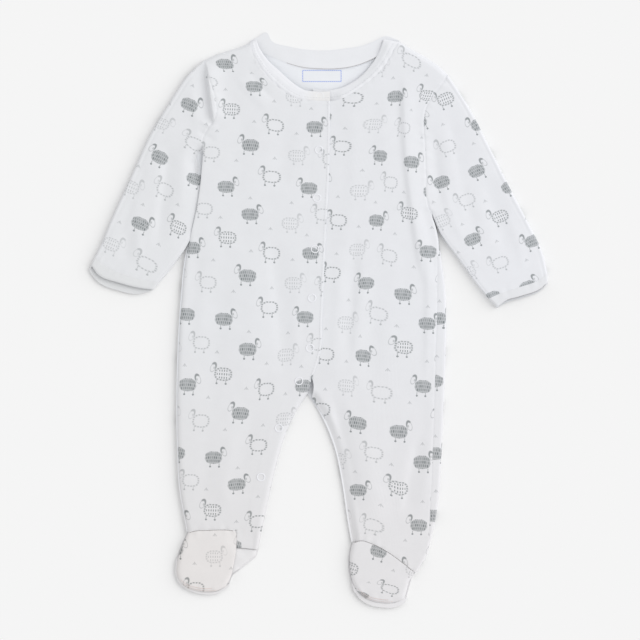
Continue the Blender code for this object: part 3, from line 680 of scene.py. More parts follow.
def laid(plan: Array, height: Array | float, lay: PrintLay = PLAIN_LAY) -> Patch:
    """Makes a patch of a plan and its heights, with the print laid on it."""
    return Patch(raised(plan, height), lay.chart(plan))


def quads(rows: int, columns: int, start: int) -> Array:
    """Numbers the corners of a grid's faces, anticlockwise from outside."""
    at = start + np.arange(rows * columns).reshape(rows, columns)
    return np.stack([at[:-1, :-1], at[1:, :-1], at[1:, 1:], at[:-1, 1:]], -1).reshape(-1, 4)


def meshed(
    name: str, points: Array, faces: Sequence[Sequence[int]], cloth: Array
) -> bpy.types.Mesh:
    """Makes a smooth mesh with a UV map in metres named Cloth.

    Args:
        name: The mesh's name.
        points: Its points in metres.
        faces: The corners of its faces.
        cloth: The places on the cloth of all those corners, in their order.

    Returns:
        The mesh.
    """
    mesh = bpy.data.meshes.new(name)
    mesh.from_pydata(points.tolist(), [], faces)
    layer = mesh.uv_layers.new(name="Cloth")
    layer.data.foreach_set("uv", cloth.astype(np.float32).ravel())
    mesh.validate()
    mesh.shade_smooth()
    return mesh


def woven(name: str, patches: Sequence[Patch]) -> bpy.types.Mesh:
    """Makes one smooth mesh of patches, welded where their points meet.

    Args:
        name: The mesh's name.
        patches: The grids.

    Returns:
        The mesh, with a UV map in metres named Cloth and its open edges sharp.
    """
    points = np.vstack([patch.points.reshape(-1, 3) for patch in patches]) * MM
    cloth = np.vstack([patch.cloth.reshape(-1, 2) for patch in patches])
    counts = [patch.points.shape[0] * patch.points.shape[1] for patch in patches]
    starts = np.concatenate([[0], np.cumsum(counts)[:-1]])
    faces = np.vstack(
        [quads(*patch.points.shape[:2], at) for patch, at in zip(patches, starts, strict=True)]
    )
    cells = np.round(points / WELD).astype(np.int64)
    _, first, same = np.unique(cells, axis=0, return_index=True, return_inverse=True)
    uv, faces, points = cloth[faces].reshape(-1, 2), same.reshape(-1)[faces], points[first]
    mesh = meshed(name, points, faces.tolist(), uv)
    sides = np.empty(len(mesh.loops), np.int32)
    mesh.loops.foreach_get("edge_index", sides)
    mesh.edges.foreach_set("use_edge_sharp", np.bincount(sides, minlength=len(mesh.edges)) == 1)
    return mesh


def placed(name: str, data: bpy.types.ID) -> bpy.types.Object:
    """Puts an object into the scene.

    Args:
        name: The object's name.
        data: Its mesh, lamp or camera.

    Returns:
        The object.
    """
    made = bpy.data.objects.new(name, data)
    bpy.context.scene.collection.objects.link(made)
    return made


def settled(name: str, mesh: bpy.types.Mesh, finishes: Sequence[Material]) -> bpy.types.Object:
    """Puts a mesh into the scene with its finishes and lets it ride on the suit.

    Args:
        name: The piece's name.
        mesh: Its mesh, in place.
        finishes: Its materials, in the order of the mesh's slots.

    Returns:
        The piece.
    """
    for finish in finishes:
        mesh.materials.append(finish)
    piece = placed(name, mesh)
    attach(piece, "root")
    log.info("%s: %d faces", name, len(mesh.polygons))
    return piece


@dataclass(frozen=True)
class Cut:
    """The flat size that a piece was cut to, in metres, and its flat area in square metres."""

    width: float
    length: float
    area: float


def sewn(
    name: str,
    patches: Sequence[Patch],
    finishes: Sequence[Material],
    cut: Cut,
    wall: float = WALL,
) -> None:
    """Makes a piece of cloth that stands for the CAD node of the same name.

    Args:
        name: The node's name.
        patches: Its outer face.
        finishes: The outer finish and, where it differs, the inner one.
        cut: Its flat size.
        wall: Its thickness in millimetres, laid inwards.
    """
    piece = settled(name + "_cloth", woven(name + "_cloth", patches), finishes)
    thick = piece.modifiers.new("Wall", "SOLIDIFY")
    thick.thickness = wall * MM
    thick.offset = -1
    thick.use_rim = True
    thick.material_offset = len(finishes) - 1
    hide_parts(name)
    area = sum(p.area for p in piece.data.polygons)
    log.info("%s: area %.5f of %.5f", name, area, cut.area)


# Finishes ----------------------------------------------------------------------------------------


def srgb(*levels: float) -> Color:
    """Turns 0 to 255 screen levels into a linear colour."""
    part = [level / 255 for level in levels]
    return (*(p / 12.92 if p <= 0.04045 else ((p + 0.055) / 1.055) ** 2.4 for p in part), 1.0)


class Wiring:
    """Short names for the nodes of one tree."""

    def __init__(self, tree: bpy.types.NodeTree) -> None:
        """Starts with the node tree to add to."""
        self.tree = tree

    def add(self, kind: str, **settings: object) -> bpy.types.Node:
        """Adds a node and sets its properties.

        Args:
            kind: Blender's name of the node.
            settings: Properties by name.

        Returns:
            The node.
        """
        node = self.tree.nodes.new(kind)
        for name, value in settings.items():
            setattr(node, name, value)
        return node

    def link(self, source: Wire | Color, target: Socket) -> None:
        """Connects a socket, or sets a number or a colour.

        Args:
            source: The socket, number or colour.
            target: The input that takes it.
        """
        if isinstance(source, Socket):
            self.tree.links.new(source, target)
        else:
            target.default_value = source

    def fed(self, kind: str, inputs: dict[str, Wire | Color], **settings: object) -> bpy.types.Node:
        """Adds a node, sets its properties and feeds its inputs.

        Args:
            kind: Blender's name of the node.
            inputs: What goes into each input, by name.
            settings: Properties by name.

        Returns:
            The node.
        """
        node = self.add(kind, **settings)
        for name, source in inputs.items():
            self.link(source, node.inputs[name])
        return node

    def finished(
        self, inputs: dict[str, Wire | Color], relief: Socket, strength: float, depth: float
    ) -> None:
        """Ends a material's tree with a shader whose surface is raised by a relief.

        Args:
            inputs: The shader's inputs, by name.
            relief: The relief.
            strength: How strongly it shows, from 0 to 1.
            depth: Its depth in metres.
        """
        bumps = {"Height": relief, "Strength": strength, "Distance": depth}
        normal = self.fed("ShaderNodeBump", bumps).outputs[0]
        shader = self.fed("ShaderNodeBsdfPrincipled", {**inputs, "Normal": normal})
        self.fed("ShaderNodeOutputMaterial", {"Surface": shader.outputs[0]})

    def blend(
        self, share: Wire, first: Wire | Color, second: Wire | Color, kind: str = "MIX"
    ) -> Socket:
        """Blends two colours.

        Args:
            share: 0 for the first colour alone, 1 for the whole effect of the second.
            first: The first colour.
            second: The second colour.
            kind: Blender's name of the way they are blended.

        Returns:
            The blended colour.
        """
        inputs = {"Factor": share, "A": first, "B": second}
        node = self.fed("ShaderNodeMix", inputs, data_type="RGBA", blend_type=kind)
        return node.outputs["Result"]

    def noise(self, place: Socket, scale: float, detail: float = 2.0, flat: bool = True) -> Socket:
        """Adds noise of a scale, over a plane or in space.

        Args:
            place: Where it is read.
            scale: Its scale.
            detail: Its finer layers.
            flat: Whether it varies over a plane only.

        Returns:
            The noise, from 0 to 1.
        """
        inputs = {"Vector": place, "Scale": scale, "Detail": detail}
        kind = "2D" if flat else "3D"
        return self.fed("ShaderNodeTexNoise", inputs, noise_dimensions=kind).outputs["Fac"]

    def parts(self, place: Socket) -> bpy.types.NodeOutputs:
        """Splits a place into its X, Y and Z."""
        return self.fed("ShaderNodeSeparateXYZ", {"Vector": place}).outputs

    def math(self, operation: str, *terms: Wire, clamp: bool = False) -> Socket:
        """Adds a Math node.

        Args:
            operation: Its operation.
            terms: One to three numbers or sockets.
            clamp: Whether the result is kept between 0 and 1.

        Returns:
            Its result.
        """
        node = self.add("ShaderNodeMath", operation=operation, use_clamp=clamp)
        for term, socket in zip(terms, node.inputs, strict=False):
            self.link(term, socket)
        return node.outputs[0]

    def plus(self, *terms: Wire) -> Socket:
        """Adds the terms up."""
        return reduce(lambda total, term: self.math("ADD", total, term), terms)

    def times(self, *terms: Wire) -> Socket:
        """Multiplies the terms."""
        return reduce(lambda total, term: self.math("MULTIPLY", total, term), terms)

    def either(self, *masks: Wire) -> Socket:
        """Takes the strongest of several masks."""
        return reduce(lambda total, mask: self.math("MAXIMUM", total, mask), masks)

    def apart(self, value: Wire, middle: float) -> Socket:
        """Measures how far a value is from a middle, on either side."""
        return self.math("ABSOLUTE", self.math("SUBTRACT", value, middle))

    def below(self, value: Wire, edge: float, soft: float) -> Socket:
        """Gives 1 where a value is below an edge and 0 above it, over a soft width."""
        return self.math("MULTIPLY_ADD", value, -1 / soft, edge / soft + 0.5, clamp=True)

    def band(self, value: Wire, middle: float, half: float, soft: float) -> Socket:
        """Gives 1 where a value is within half of its middle."""
        return self.below(self.apart(value, middle), half, soft)

    def stripes(self, value: Wire, half: float, soft: float) -> Socket:
        """Gives 1 within half of the middle of each whole step of a value."""
        return self.band(self.math("FRACT", value), 0.5, half, soft)

    def disc(self, x: Wire, y: Wire, at: Pair, radii: Pair) -> Socket:
        """Measures from an ellipse's middle: 1 on its edge, less inside.

        Args:
            x: The place across.
            y: The place up.
            at: The ellipse's middle.
            radii: Its half width and half height.

        Returns:
            The measure.
        """
        across = self.times(self.math("SUBTRACT", x, at[0]), 1 / radii[0])
        up = self.times(self.math("SUBTRACT", y, at[1]), 1 / radii[1])
        return self.math("SQRT", self.plus(self.times(across, across), self.times(up, up)))


def blank(name: str) -> tuple[Material, Wiring]:
    """Makes an empty material, with the wiring of its tree.

    Args:
        name: The material's name.

    Returns:
        The material and the wiring.
    """
    made = bpy.data.materials.new(name)
    made.use_nodes = True
    made.node_tree.nodes.clear()
    return made, Wiring(made.node_tree)


@dataclass(frozen=True)
class Motif:
    """One printed sheep of the repeat: its shift from the middle of its place, the way it faces,
    how dark it is printed, and how much of it is filled, ringed and hatched."""

    x: float
    y: float
    facing: int
    ink: float
    fill: float = 0.0
    ring: float = 0.0
    hatch: float = 0.0


SOLID = {"ink": 1.0, "fill": 1.0}
OUTLINE = {"ink": 0.95, "ring": 1.0}
HATCHED = {"ink": 0.95, "ring": 1.0, "hatch": 1.0}
FAINT_OUTLINE = {"ink": 0.55, "ring": 1.0}
FAINT_HATCHED = {"ink": 0.4, "ring": 1.0, "hatch": 1.0}


@dataclass(frozen=True)
class SheepChart:
    """The repeat of the print: two sets of places, one between the other, 39 by 67.5 mm each.

    A set has three columns and two rows, and the chart repeats every 117 by 135 mm. Between the
    sheep stand small tufts of grass, in twice as many rows. A motif's shift is at most half the
    span.
    """

    width: float = 39.0
    height: float = 67.5
    columns: int = 3
    rows: int = 2
    between: Pair = (19.5, 32.15)
    span: float = 40.0
    even: tuple[Motif, ...] = (
        Motif(-2, -4, 1, **SOLID), Motif(3, 9, -1, **OUTLINE), Motif(0, -1, -1, **SOLID),
        Motif(-0.5, 10, -1, **HATCHED), Motif(4, -3.5, -1, **OUTLINE), Motif(4, -2, 1, **SOLID),
    )
    odd: tuple[Motif, ...] = (
        Motif(-4, 4, -1, **FAINT_OUTLINE), Motif(2, 0, 1, **SOLID),
        Motif(2.5, -7, 1, **FAINT_HATCHED), Motif(1.5, -4, -1, **FAINT_OUTLINE),
        Motif(0.5, 5, -1, **SOLID), Motif(6.5, -1.5, 1, **FAINT_HATCHED),
    )
    tufts: Knots = (
        (-2, 13), (-17, 2), (-16.5, -0.5), (7, 7), (5, 12), (0, -14), (-13.5, 3.5), (-16.5, 14.5),
        (-14, 7.5), (-7.5, 14), (2.5, 4.5), (0, 0),
    )
    tuft_ink: float = 0.34


@dataclass(frozen=True)
class Sheep:
    """One sheep that looks to the right, in millimetres from the middle of its body.

    An ellipse is given by its middle and its two radii, and a share of ink goes from 0 to 1. The
    last number of each mask is the width over which it fades.
    """

    body: Pair = (8.3, 6.2)  # half its width and height
    roundness: float = 2.7  # the power of its superellipse
    flatness: float = 1.35  # its width by its height, for the angles round it
    curls: int = 9  # waves of the wool round the rim
    curl: float = 0.018  # their height as a share of the radius
    dash: Pair = (1.95, 3.3)  # width and height of a dash of wool
    stagger: float = 0.37  # how far each row of dashes is shifted
    arch: float = 0.004  # how much the rows bend up to both ends
    wool_ink: float = 0.385  # between the dashes
    rim: float = 0.93  # where the outline of a ringed sheep runs
    ticks: int = 17  # dashes of that outline
    hatch: Pair = (2.3, 3.5)  # spacing of the strokes of a hatched sheep
    hatch_edge: float = 0.74  # how far out they go
    hatch_ink: float = 0.78
    lean: float = 0.28  # how far the face leans forward
    face: tuple[Pair, Pair] = ((11.7, 6.0), (2.6, 4.2))
    face_ink: float = 0.38
    nape: Pair = (9.9, 6.9)
    nape_ink: float = 0.7
    ear: tuple[Pair, Pair] = ((9.0, 5.6), (0.7, 1.3))
    ear_ink: float = 0.35
    stance: Pair = (1.5, 4.4)  # the middle between the legs, and each leg's distance from it
    leg: Pair = (-7.4, 1.6)  # a leg's middle and half its length
    leg_ink: float = 0.45
    hoof: tuple[Pair, Pair] = ((0, -9.2), (1.0, 0.95))
    hoof_ink: float = 0.72

    def wool(self, w: Wiring, given: bpy.types.NodeOutputs) -> Socket:
        """Draws the body, a superellipse whose rim wavers: dashes of chance darkness where it is
        filled, a broken outline where it is ringed, and rows of strokes where it is hatched.

        Args:
            w: The tree.
            given: X, Y and the shares of fill, ring and hatch.

        Returns:
            The ink.
        """
        x, y = given["X"], given["Y"]
        angle = w.math("ARCTAN2", w.times(y, self.flatness), x)
        waver = w.times(w.math("SINE", w.times(angle, self.curls)), self.curl)
        wide, high = (
            w.math("POWER", w.math("ABSOLUTE", w.times(value, 1 / half)), self.roundness)
            for value, half in ((x, self.body[0]), (y, self.body[1]))
        )
        radius = w.plus(w.math("POWER", w.plus(wide, high), 1 / self.roundness), waver)
        row = w.plus(w.times(y, 1 / self.dash[1]), w.times(x, x, self.arch), 0.45)
        floor = w.math("FLOOR", row)
        across = w.plus(w.times(x, 1 / self.dash[0]), w.times(floor, self.stagger))
        cell = w.fed("ShaderNodeCombineXYZ", {"X": w.math("FLOOR", across), "Y": floor}).outputs[0]
        chance = w.fed("ShaderNodeTexWhiteNoise", {"Vector": cell}, noise_dimensions="2D")
        marks = w.times(
            w.stripes(row, 0.38, 0.2),
            w.stripes(across, 0.3, 0.34),
            w.math("MULTIPLY_ADD", chance.outputs["Value"], 0.34, 0.16),
        )
        filled = w.times(w.below(radius, 1.0, 0.12), w.plus(marks, self.wool_ink), given["Fill"])
        ticks = w.stripes(w.times(angle, self.ticks / (2 * math.pi)), 0.25, 0.2)
        dark = w.math("MULTIPLY_ADD", ticks, 0.5, 0.2)
        ring = w.times(w.band(radius, self.rim, 0.1, 0.1), dark, given["Ring"])
        tall = w.stripes(w.plus(w.times(y, 1 / self.hatch[1]), 0.5), 0.29, 0.14)
        lines = w.stripes(w.times(x, 1 / self.hatch[0]), 0.2, 0.16)
        inner = w.below(radius, self.hatch_edge, 0.08)
        return w.either(filled, ring, w.times(tall, lines, inner, self.hatch_ink, given["Hatch"]))

    def head(self, w: Wiring, x: Socket, y: Socket, face: Socket) -> Socket:
        """Draws the outline of the face, the ear and the dark nape.

        Args:
            w: The tree.
            x: Forward from the body's middle.
            y: Up from it.
            face: How far out of the face a point is, 1 on its edge.

        Returns:
            The ink.
        """
        outline = w.times(w.band(face, 1.0, 0.1, 0.16), self.face_ink)
        behind = w.times(w.math("SUBTRACT", x, self.nape[0]), 0.8)
        above = w.times(w.math("SUBTRACT", y, self.nape[1]), -0.55)
        nape = w.below(w.plus(behind, above), -0.4, 1.6)
        cap = w.times(w.band(face, 1.0, 0.27, 0.22), nape, self.nape_ink)
        ear = w.times(w.below(w.disc(x, y, *self.ear), 1.0, 0.3), self.ear_ink)
        return w.either(outline, ear, cap)

    def legs(self, w: Wiring, x: Socket, y: Socket) -> Socket:
        """Draws the two legs that show, and their hooves.

        Args:
            w: The material's wiring.
            x: The place across the sheep.
            y: The place up the sheep.

        Returns:
            The ink, from 0 to 1.
        """
        apart = w.apart(w.apart(x, self.stance[0]), self.stance[1])
        legs = w.times(w.below(apart, 0.4, 0.3), w.band(y, *self.leg, 0.4), self.leg_ink)
        hooves = w.times(w.below(w.disc(apart, y, *self.hoof), 1.0, 0.3), self.hoof_ink)
        return w.either(legs, hooves)

    def group(self) -> bpy.types.NodeTree:
        """Draws the sheep as a node group; its face hides the wool behind it.

        Returns:
            The group: X and Y in millimetres, the shares of fill, ring and hatch in, the ink out.
        """
        group = bpy.data.node_groups.new("Sheep", "ShaderNodeTree")
        for name in ("X", "Y", "Fill", "Ring", "Hatch"):
            group.interface.new_socket(name, in_out="INPUT", socket_type="NodeSocketFloat")
        group.interface.new_socket("Ink", in_out="OUTPUT", socket_type="NodeSocketFloat")
        w = Wiring(group)
        given = w.add("NodeGroupInput").outputs
        x, y = given["X"], given["Y"]
        face = w.disc(w.plus(x, w.times(y, self.lean)), y, *self.face)
        wool = w.times(self.wool(w, given), w.math("SUBTRACT", 1.0, w.below(face, 1.0, 0.12)))
        ink = w.either(wool, self.head(w, x, y, face), self.legs(w, x, y))
        w.fed("NodeGroupOutput", {"Ink": ink})
        return group


# An axis, two places on it and two colours; it serves both for tints and for painted shade and
# light.
TintAndShade = tuple[str, float, float, Color, Color]


@dataclass(frozen=True)
class Jersey:
    """Cotton jersey: its colour, its knitted surface and the sheen of its nap.

    Each entry tints and shades it between two places on an axis, from the first colour to the
    second. The first here is painted shade and light: greyer and darker to the left, lighter to the
    right, the side the key lamp shines from. The second makes it warmer and a touch darker to the
    feet.
    """

    name: str
    color: Color = (231, 232, 236)
    wale: float = 1.05
    nap: float = 0.35
    tints_and_shading: tuple[TintAndShade, ...] = (
        # painted shade and light: greyer and darker to the left, lighter to the right, where the
        # key lamp shines from
        ("X", -0.2, 0.2, (0.955, 0.958, 0.945), (1.012, 1.015, 1.018)),
        # a tint: warmer and a touch darker towards the feet
        ("Y", 0.0, -0.24, (1.0, 1.0, 1.0), (0.965, 0.942, 0.925)),
    )
    course: float = 0.8  # height of a stitch as a share of its width
    relief: float = 0.00012
    clouding: float = 0.035
    cloud_scale: float = 75.0
    fibre_scale: float = 700.0
    roughness: float = 0.92
    specular: float = 0.25
    sheen: float = 0.12
    sheen_roughness: float = 0.55

    def surface(self, w: Wiring, uv: Socket, color: Socket | Color) -> None:
        """Wires a knitted surface: columns of stitches, faint clouding of the colour, and bump.

        Args:
            w: The material's tree.
            uv: Places on the cloth in metres.
            color: The colour.
        """
        clouds = w.noise(uv, self.cloud_scale, 3.0)
        fibre = w.noise(uv, self.fibre_scale)
        mixed = w.plus(w.times(clouds, 0.6), w.times(fibre, 0.4))
        span = {"Value": mixed, "To Min": 1 - self.clouding, "To Max": 1 + self.clouding}
        tone = w.blend(1.0, color, w.fed("ShaderNodeMapRange", span).outputs[0], "MULTIPLY")
        place = w.parts(uv)
        turn = 2 * math.pi / (MM * self.wale)
        columns = w.math("SINE", w.times(place["X"], turn))
        lean = w.math("ABSOLUTE", w.math("SINE", w.times(place["X"], turn / 2)))
        rows = w.plus(w.times(place["Y"], turn / self.course), w.times(lean, 2.4))
        courses = w.math("SINE", rows)
        knit = w.plus(w.times(columns, 0.5), w.times(courses, 0.35), w.times(fibre, 0.9))
        inputs = {
            "Base Color": self.tinted_and_shaded(w, tone), "Roughness": self.roughness,
            "Specular IOR Level": self.specular, "Sheen Weight": self.sheen,
            "Sheen Roughness": self.sheen_roughness,
        }
        w.finished(inputs, knit, self.nap, self.relief)

    def tinted_and_shaded(self, w: Wiring, color: Socket) -> Socket:
        """Multiplies the cloth's colour by its tint and painted shade ramps, over the whole suit.

        Args:
            w: The material's tree.
            color: The colour so far.

        Returns:
            The tinted colour.
        """
        place = w.parts(w.add("ShaderNodeTexCoord").outputs["Object"])
        for axis, start, end, low, high in self.tints_and_shading:
            span = {"Value": place[axis], "From Min": start, "From Max": end}
            share = w.fed("ShaderNodeMapRange", span).outputs[0]
            color = w.blend(1.0, color, w.blend(share, (*low, 1), (*high, 1)), "MULTIPLY")
        return color

    def colored(self, w: Wiring, uv: Socket) -> Socket | Color:
        """Gives the cloth's own colour, which is the same all over."""
        return srgb(*self.color)

    def material(self) -> Material:
        """Makes the material.

        Returns:
            The material.
        """
        made, w = blank(self.name)
        uv = w.add("ShaderNodeUVMap", uv_map="Cloth").outputs[0]
        self.surface(w, uv, self.colored(w, uv))
        return made


@dataclass(frozen=True)
class PrintedJersey(Jersey):
    """Jersey with the sheep print."""

    chart: SheepChart = SheepChart()
    sheep: Sheep = Sheep()
    ink: Color = (92, 102, 104)

    def looked_up(
        self, w: Wiring, place: Socket, table: Sequence[Sequence[float]]
    ) -> tuple[Socket, ...]:
        """Reads one row of a table at a place from 0 to 1, as a colour ramp of constant steps.

        Args:
            w: The tree.
            place: Which row, as a share of the table.
            table: The rows, four numbers each, from 0 to 1.

        Returns:
            The row's four numbers.
        """
        ramp = w.add("ShaderNodeValToRGB")
        ramp.color_ramp.interpolation = "CONSTANT"
        stops = ramp.color_ramp.elements
        stops[1].position = 1 / len(table)
        for k in range(2, len(table)):
            stops.new(k / len(table))
        for k, row in enumerate(table):
            stops[k].color = row
        w.link(place, ramp.inputs[0])
        split = w.fed("ShaderNodeSeparateColor", {"Color": ramp.outputs["Color"]})
        return (*split.outputs, ramp.outputs["Alpha"])

    def scattered(
        self, w: Wiring, x: Socket, y: Socket, rows: int, table: Sequence[Sequence[float]]
    ) -> tuple[Socket, ...]:
        """Finds the place of the repeat that a point is in, and the motif of that place.

        Args:
            w: The tree.
            x: Across the cloth in millimetres, from a corner of a place.
            y: Up the cloth.
            rows: How many rows of places the repeat has.
            table: For each place its motif's shift in x and y, and two numbers from 0 to 1.

        Returns:
            Where in the table it is, from 0 to 1, the point's x and y from the motif's middle, and
            the motif's two numbers.
        """
        chart = self.chart
        high = chart.height * chart.rows / rows
        across, up = w.times(x, 1 / chart.width), w.times(y, 1 / high)
        i, j = w.math("FLOOR", across), w.math("FLOOR", up)
        column = w.math("FRACT", w.times(w.plus(i, 0.5), 1 / chart.columns))
        row = w.math("FRACT", w.times(w.plus(j, 0.5), 1 / rows))
        row = w.times(w.math("FLOOR", w.times(row, rows)), 1 / rows)
        at = w.plus(w.times(column, 1 / rows), row)
        span = chart.span
        shares = [(a / span + 0.5, b / span + 0.5, *rest) for a, b, *rest in table]
        shift_x, shift_y, *rest = self.looked_up(w, at, shares)
        inner = []
        for value, step, size, shift in ((across, i, chart.width, shift_x), (up, j, high, shift_y)):
            inside = w.times(w.math("SUBTRACT", w.math("SUBTRACT", value, step), 0.5), size)
            inner.append(w.plus(inside, w.math("MULTIPLY_ADD", shift, -span, span / 2)))
        return (at, *inner, *rest)

    def flock(
        self, w: Wiring, group: bpy.types.NodeTree, x: Socket, y: Socket, motifs: Sequence[Motif]
    ) -> Socket:
        """Draws the sheep of one set of places.

        Args:
            w: The tree.
            group: The sheep.
            x: Across the cloth in millimetres, from a corner of a place.
            y: Up the cloth.
            motifs: The places' sheep, the upper row last.

        Returns:
            The ink.
        """
        table = [(m.x, m.y, (m.facing + 1) / 2, m.ink) for m in motifs]
        at, from_x, from_y, way, ink = self.scattered(w, x, y, self.chart.rows, table)
        kinds = self.looked_up(w, at, [(m.fill, m.ring, m.hatch, 1.0) for m in motifs])
        sheep = w.add("ShaderNodeGroup", node_tree=group)
        w.link(w.times(from_x, w.math("MULTIPLY_ADD", way, 2.0, -1.0)), sheep.inputs["X"])
        w.link(from_y, sheep.inputs["Y"])
        for name, share in zip(("Fill", "Ring", "Hatch"), kinds[:3], strict=True):
            w.link(share, sheep.inputs[name])
        return w.times(sheep.outputs["Ink"], ink)

    def grass(self, w: Wiring, x: Socket, y: Socket) -> Socket:
        """Draws the tufts: three short strokes that meet at the tip.

        Args:
            w: The tree.
            x: Across the cloth in millimetres, from a corner of a place.
            y: Up the cloth.

        Returns:
            The ink.
        """
        table = [(*tuft, 0.0, 1.0) for tuft in self.chart.tufts]
        _, from_x, from_y, *_ = self.scattered(w, x, y, 2 * self.chart.rows, table)
        spread = w.math("ABSOLUTE", from_x)
        middle = w.times(w.below(spread, 0.35, 0.4), w.band(from_y, 0.3, 1.6, 0.5))
        side = w.math("SUBTRACT", spread, w.math("MULTIPLY_ADD", from_y, -0.7, 1.0))
        strokes = w.below(w.math("ABSOLUTE", side), 0.4, 0.4)
        sides = w.times(strokes, w.band(from_y, -0.1, 1.1, 0.5))
        return w.times(w.either(middle, sides), self.chart.tuft_ink)

    def colored(self, w: Wiring, uv: Socket) -> Socket:
        """Prints the sheep and the tufts on the cloth's own colour.

        Args:
            w: The tree.
            uv: Places on the cloth in metres.

        Returns:
            The colour.
        """
        chart, place = self.chart, w.parts(uv)
        first = chart.even[0]
        x = w.math("MULTIPLY_ADD", place["X"], 1 / MM, 0.5 * chart.width + first.x)
        y = w.math("MULTIPLY_ADD", place["Y"], 1 / MM, 0.5 * chart.height + first.y)
        group = self.sheep.group()
        even = self.flock(w, group, x, y, chart.even)
        odd_x, odd_y = w.plus(x, chart.between[0]), w.plus(y, chart.between[1])
        odd = self.flock(w, group, odd_x, odd_y, chart.odd)
        ink = w.either(even, odd, self.grass(w, x, y))
        return w.blend(ink, srgb(*self.color), srgb(*self.ink))


@dataclass(frozen=True)
class FramedJersey(Jersey):
    """Jersey with a plain dashed frame, the place of the size label inside the back neck."""

    frame_at: Pair = (3.4, 244.8)
    half: Pair = (19.2, 5.6)
    dash: float = 1.9
    line: float = 0.45
    blue: Color = (148, 170, 236)

    def colored(self, w: Wiring, uv: Socket) -> Socket:
        """Draws the frame, where the larger of both distances from its middle is half its size.

        Args:
            w: The tree.
            uv: Places on the cloth in metres.

        Returns:
            The colour.
        """
        place = w.parts(w.add("ShaderNodeTexCoord").outputs["Object"])
        x, y = (
            w.math("ABSOLUTE", w.math("MULTIPLY_ADD", place[axis], 1 / MM, -middle))
            for axis, middle in zip("XY", self.frame_at, strict=True)
        )
        edge = w.either(w.math("SUBTRACT", x, self.half[0]), w.math("SUBTRACT", y, self.half[1]))
        dashes = w.stripes(w.times(w.plus(x, y), 1 / self.dash), 0.3, 0.2)
        ink = w.times(w.band(edge, 0.0, self.line, 0.3), w.math("MULTIPLY_ADD", dashes, 0.7, 0.3))
        return w.blend(ink, srgb(*self.color), srgb(*self.blue))


@dataclass(frozen=True)
class Plastic:
    """The moulded plastic of the poppers, with faint moulding marks."""

    name: str = "popper_plastic"
    color: Color = (238, 239, 243)
    roughness: float = 0.32
    mark_scale: float = 900.0
    marks: float = 0.15
    depth: float = 0.0001

    def material(self) -> Material:
        """Makes the material.

        Returns:
            The material.
        """
        made, w = blank(self.name)
        place = w.add("ShaderNodeTexCoord").outputs["Object"]
        relief = w.noise(place, self.mark_scale, flat=False)
        inputs = {"Base Color": srgb(*self.color), "Roughness": self.roughness}
        w.finished(inputs, relief, self.marks, self.depth)
        return made


def once(finish: Jersey | Plastic) -> Any:
    """Declares a field for the material of a finish, made when the finishes are."""
    return field(default_factory=finish.material)


COTTON = (235, 236, 240)
THREAD = {"wale": 0.4, "nap": 0.6}
BAND_CAST = ("X", -0.015, -0.002, (1, 1, 1), (1, 0.985, 0.95))


@dataclass
class Finishes:
    """Every finish of the suit, made once."""

    printed: Material = once(PrintedJersey("printed_jersey"))
    blushed: Material = once(PrintedJersey("printed_jersey_foot", (235, 234, 236)))
    plain: Material = once(Jersey("plain_jersey", COTTON))
    band_end: Material = once(Jersey("plain_jersey_band_end", COTTON, tints_and_shading=(BAND_CAST,)))
    inside: Material = once(Jersey("jersey_wrong_side", (232, 234, 239)))
    # painted light: this wrong side is lighter than the fronts', to brighten the back's shaded rims
    # and openings
    inside_back_lightened: Material = once(FramedJersey("jersey_wrong_side_back_lightened", (238, 240, 245)))
    cuff: Material = once(Jersey("plain_jersey_cuff", (228, 229, 232)))
    # used only along the back neck seam: the seam's stitching and a painted shadow under the band's
    # edge
    seam: Material = once(Jersey("seam_and_shadow_thread", (186, 180, 178), **THREAD))
    # a dark thread: real stitching darkened into painted shade at the ankle seams, and a painted
    # shadow at the right cuff's hem
    shade: Material = once(Jersey("painted_shade_thread", (150, 147, 147), **THREAD))
    blush: Material = once(Jersey("toe_thread", (226, 206, 203), **THREAD))
    thread: Material = once(Jersey("thread", (226, 227, 231), **THREAD))
    plastic: Material = once(Plastic())

    def lined(self) -> tuple[Material, Material]:
        """Gives the printed jersey with its plain inside."""
        return self.printed, self.inside


# Seams that pieces share -------------------------------------------------------------------------


def neckline(side: Side) -> Array:
    """Draws the neckline of the upper front, on the left, or of the lower one."""
    return flow(NECKLINE_OVER if side is Side.LEFT else NECKLINE_UNDER)


def armhole(side: Side) -> Array:
    """Draws an armhole, which a front, the back and a sleeve share."""
    return flow(ARMHOLE_LEFT if side is Side.LEFT else ARMHOLE_RIGHT)


@dataclass(frozen=True)
class Turn:
    """How the back is wrapped round the right edge onto the front.

    The wrapped widths are measured along the cloth, from the middle of the edge's roll.
    """

    y: tuple[float, ...] = (
        -252.5, -235, -214, -186, -140, -80, -30, 0, 33, 63.5, 78, 92, 107.5,
    )
    width: tuple[float, ...] = (3, 6, 11, 15, 16.6, 17, 18, 17, 15.6, 11, 8, 4, 0)

    def wrapped(self, y: Array) -> Array:
        """Gives the wrapped width at each y."""
        return np.interp(y, self.y, self.width)

    def bent(self, edge: Array, wrap: Array, along: Array) -> tuple[Array, Array]:
        """Rolls a layer round an edge: flat, half a squared circle, then flat again above itself.

        Args:
            edge: The x of the outline.
            wrap: The wrapped width there.
            along: How far along the wrapped cloth each point is.

        Returns:
            x and z.
        """
        flat_end = edge - ROLL * np.sqrt(np.sin(np.minimum(wrap / ROLL, math.pi / 2)))
        turn = np.clip(along / ROLL, 0, math.pi)
        over = np.maximum(along - math.pi * ROLL, 0)
        x = flat_end + ROLL * np.sqrt(np.maximum(np.sin(turn), 0)) - over
        return x, ROLL - ROLL * np.cos(turn)


# Body --------------------------------------------------------------------------------------------


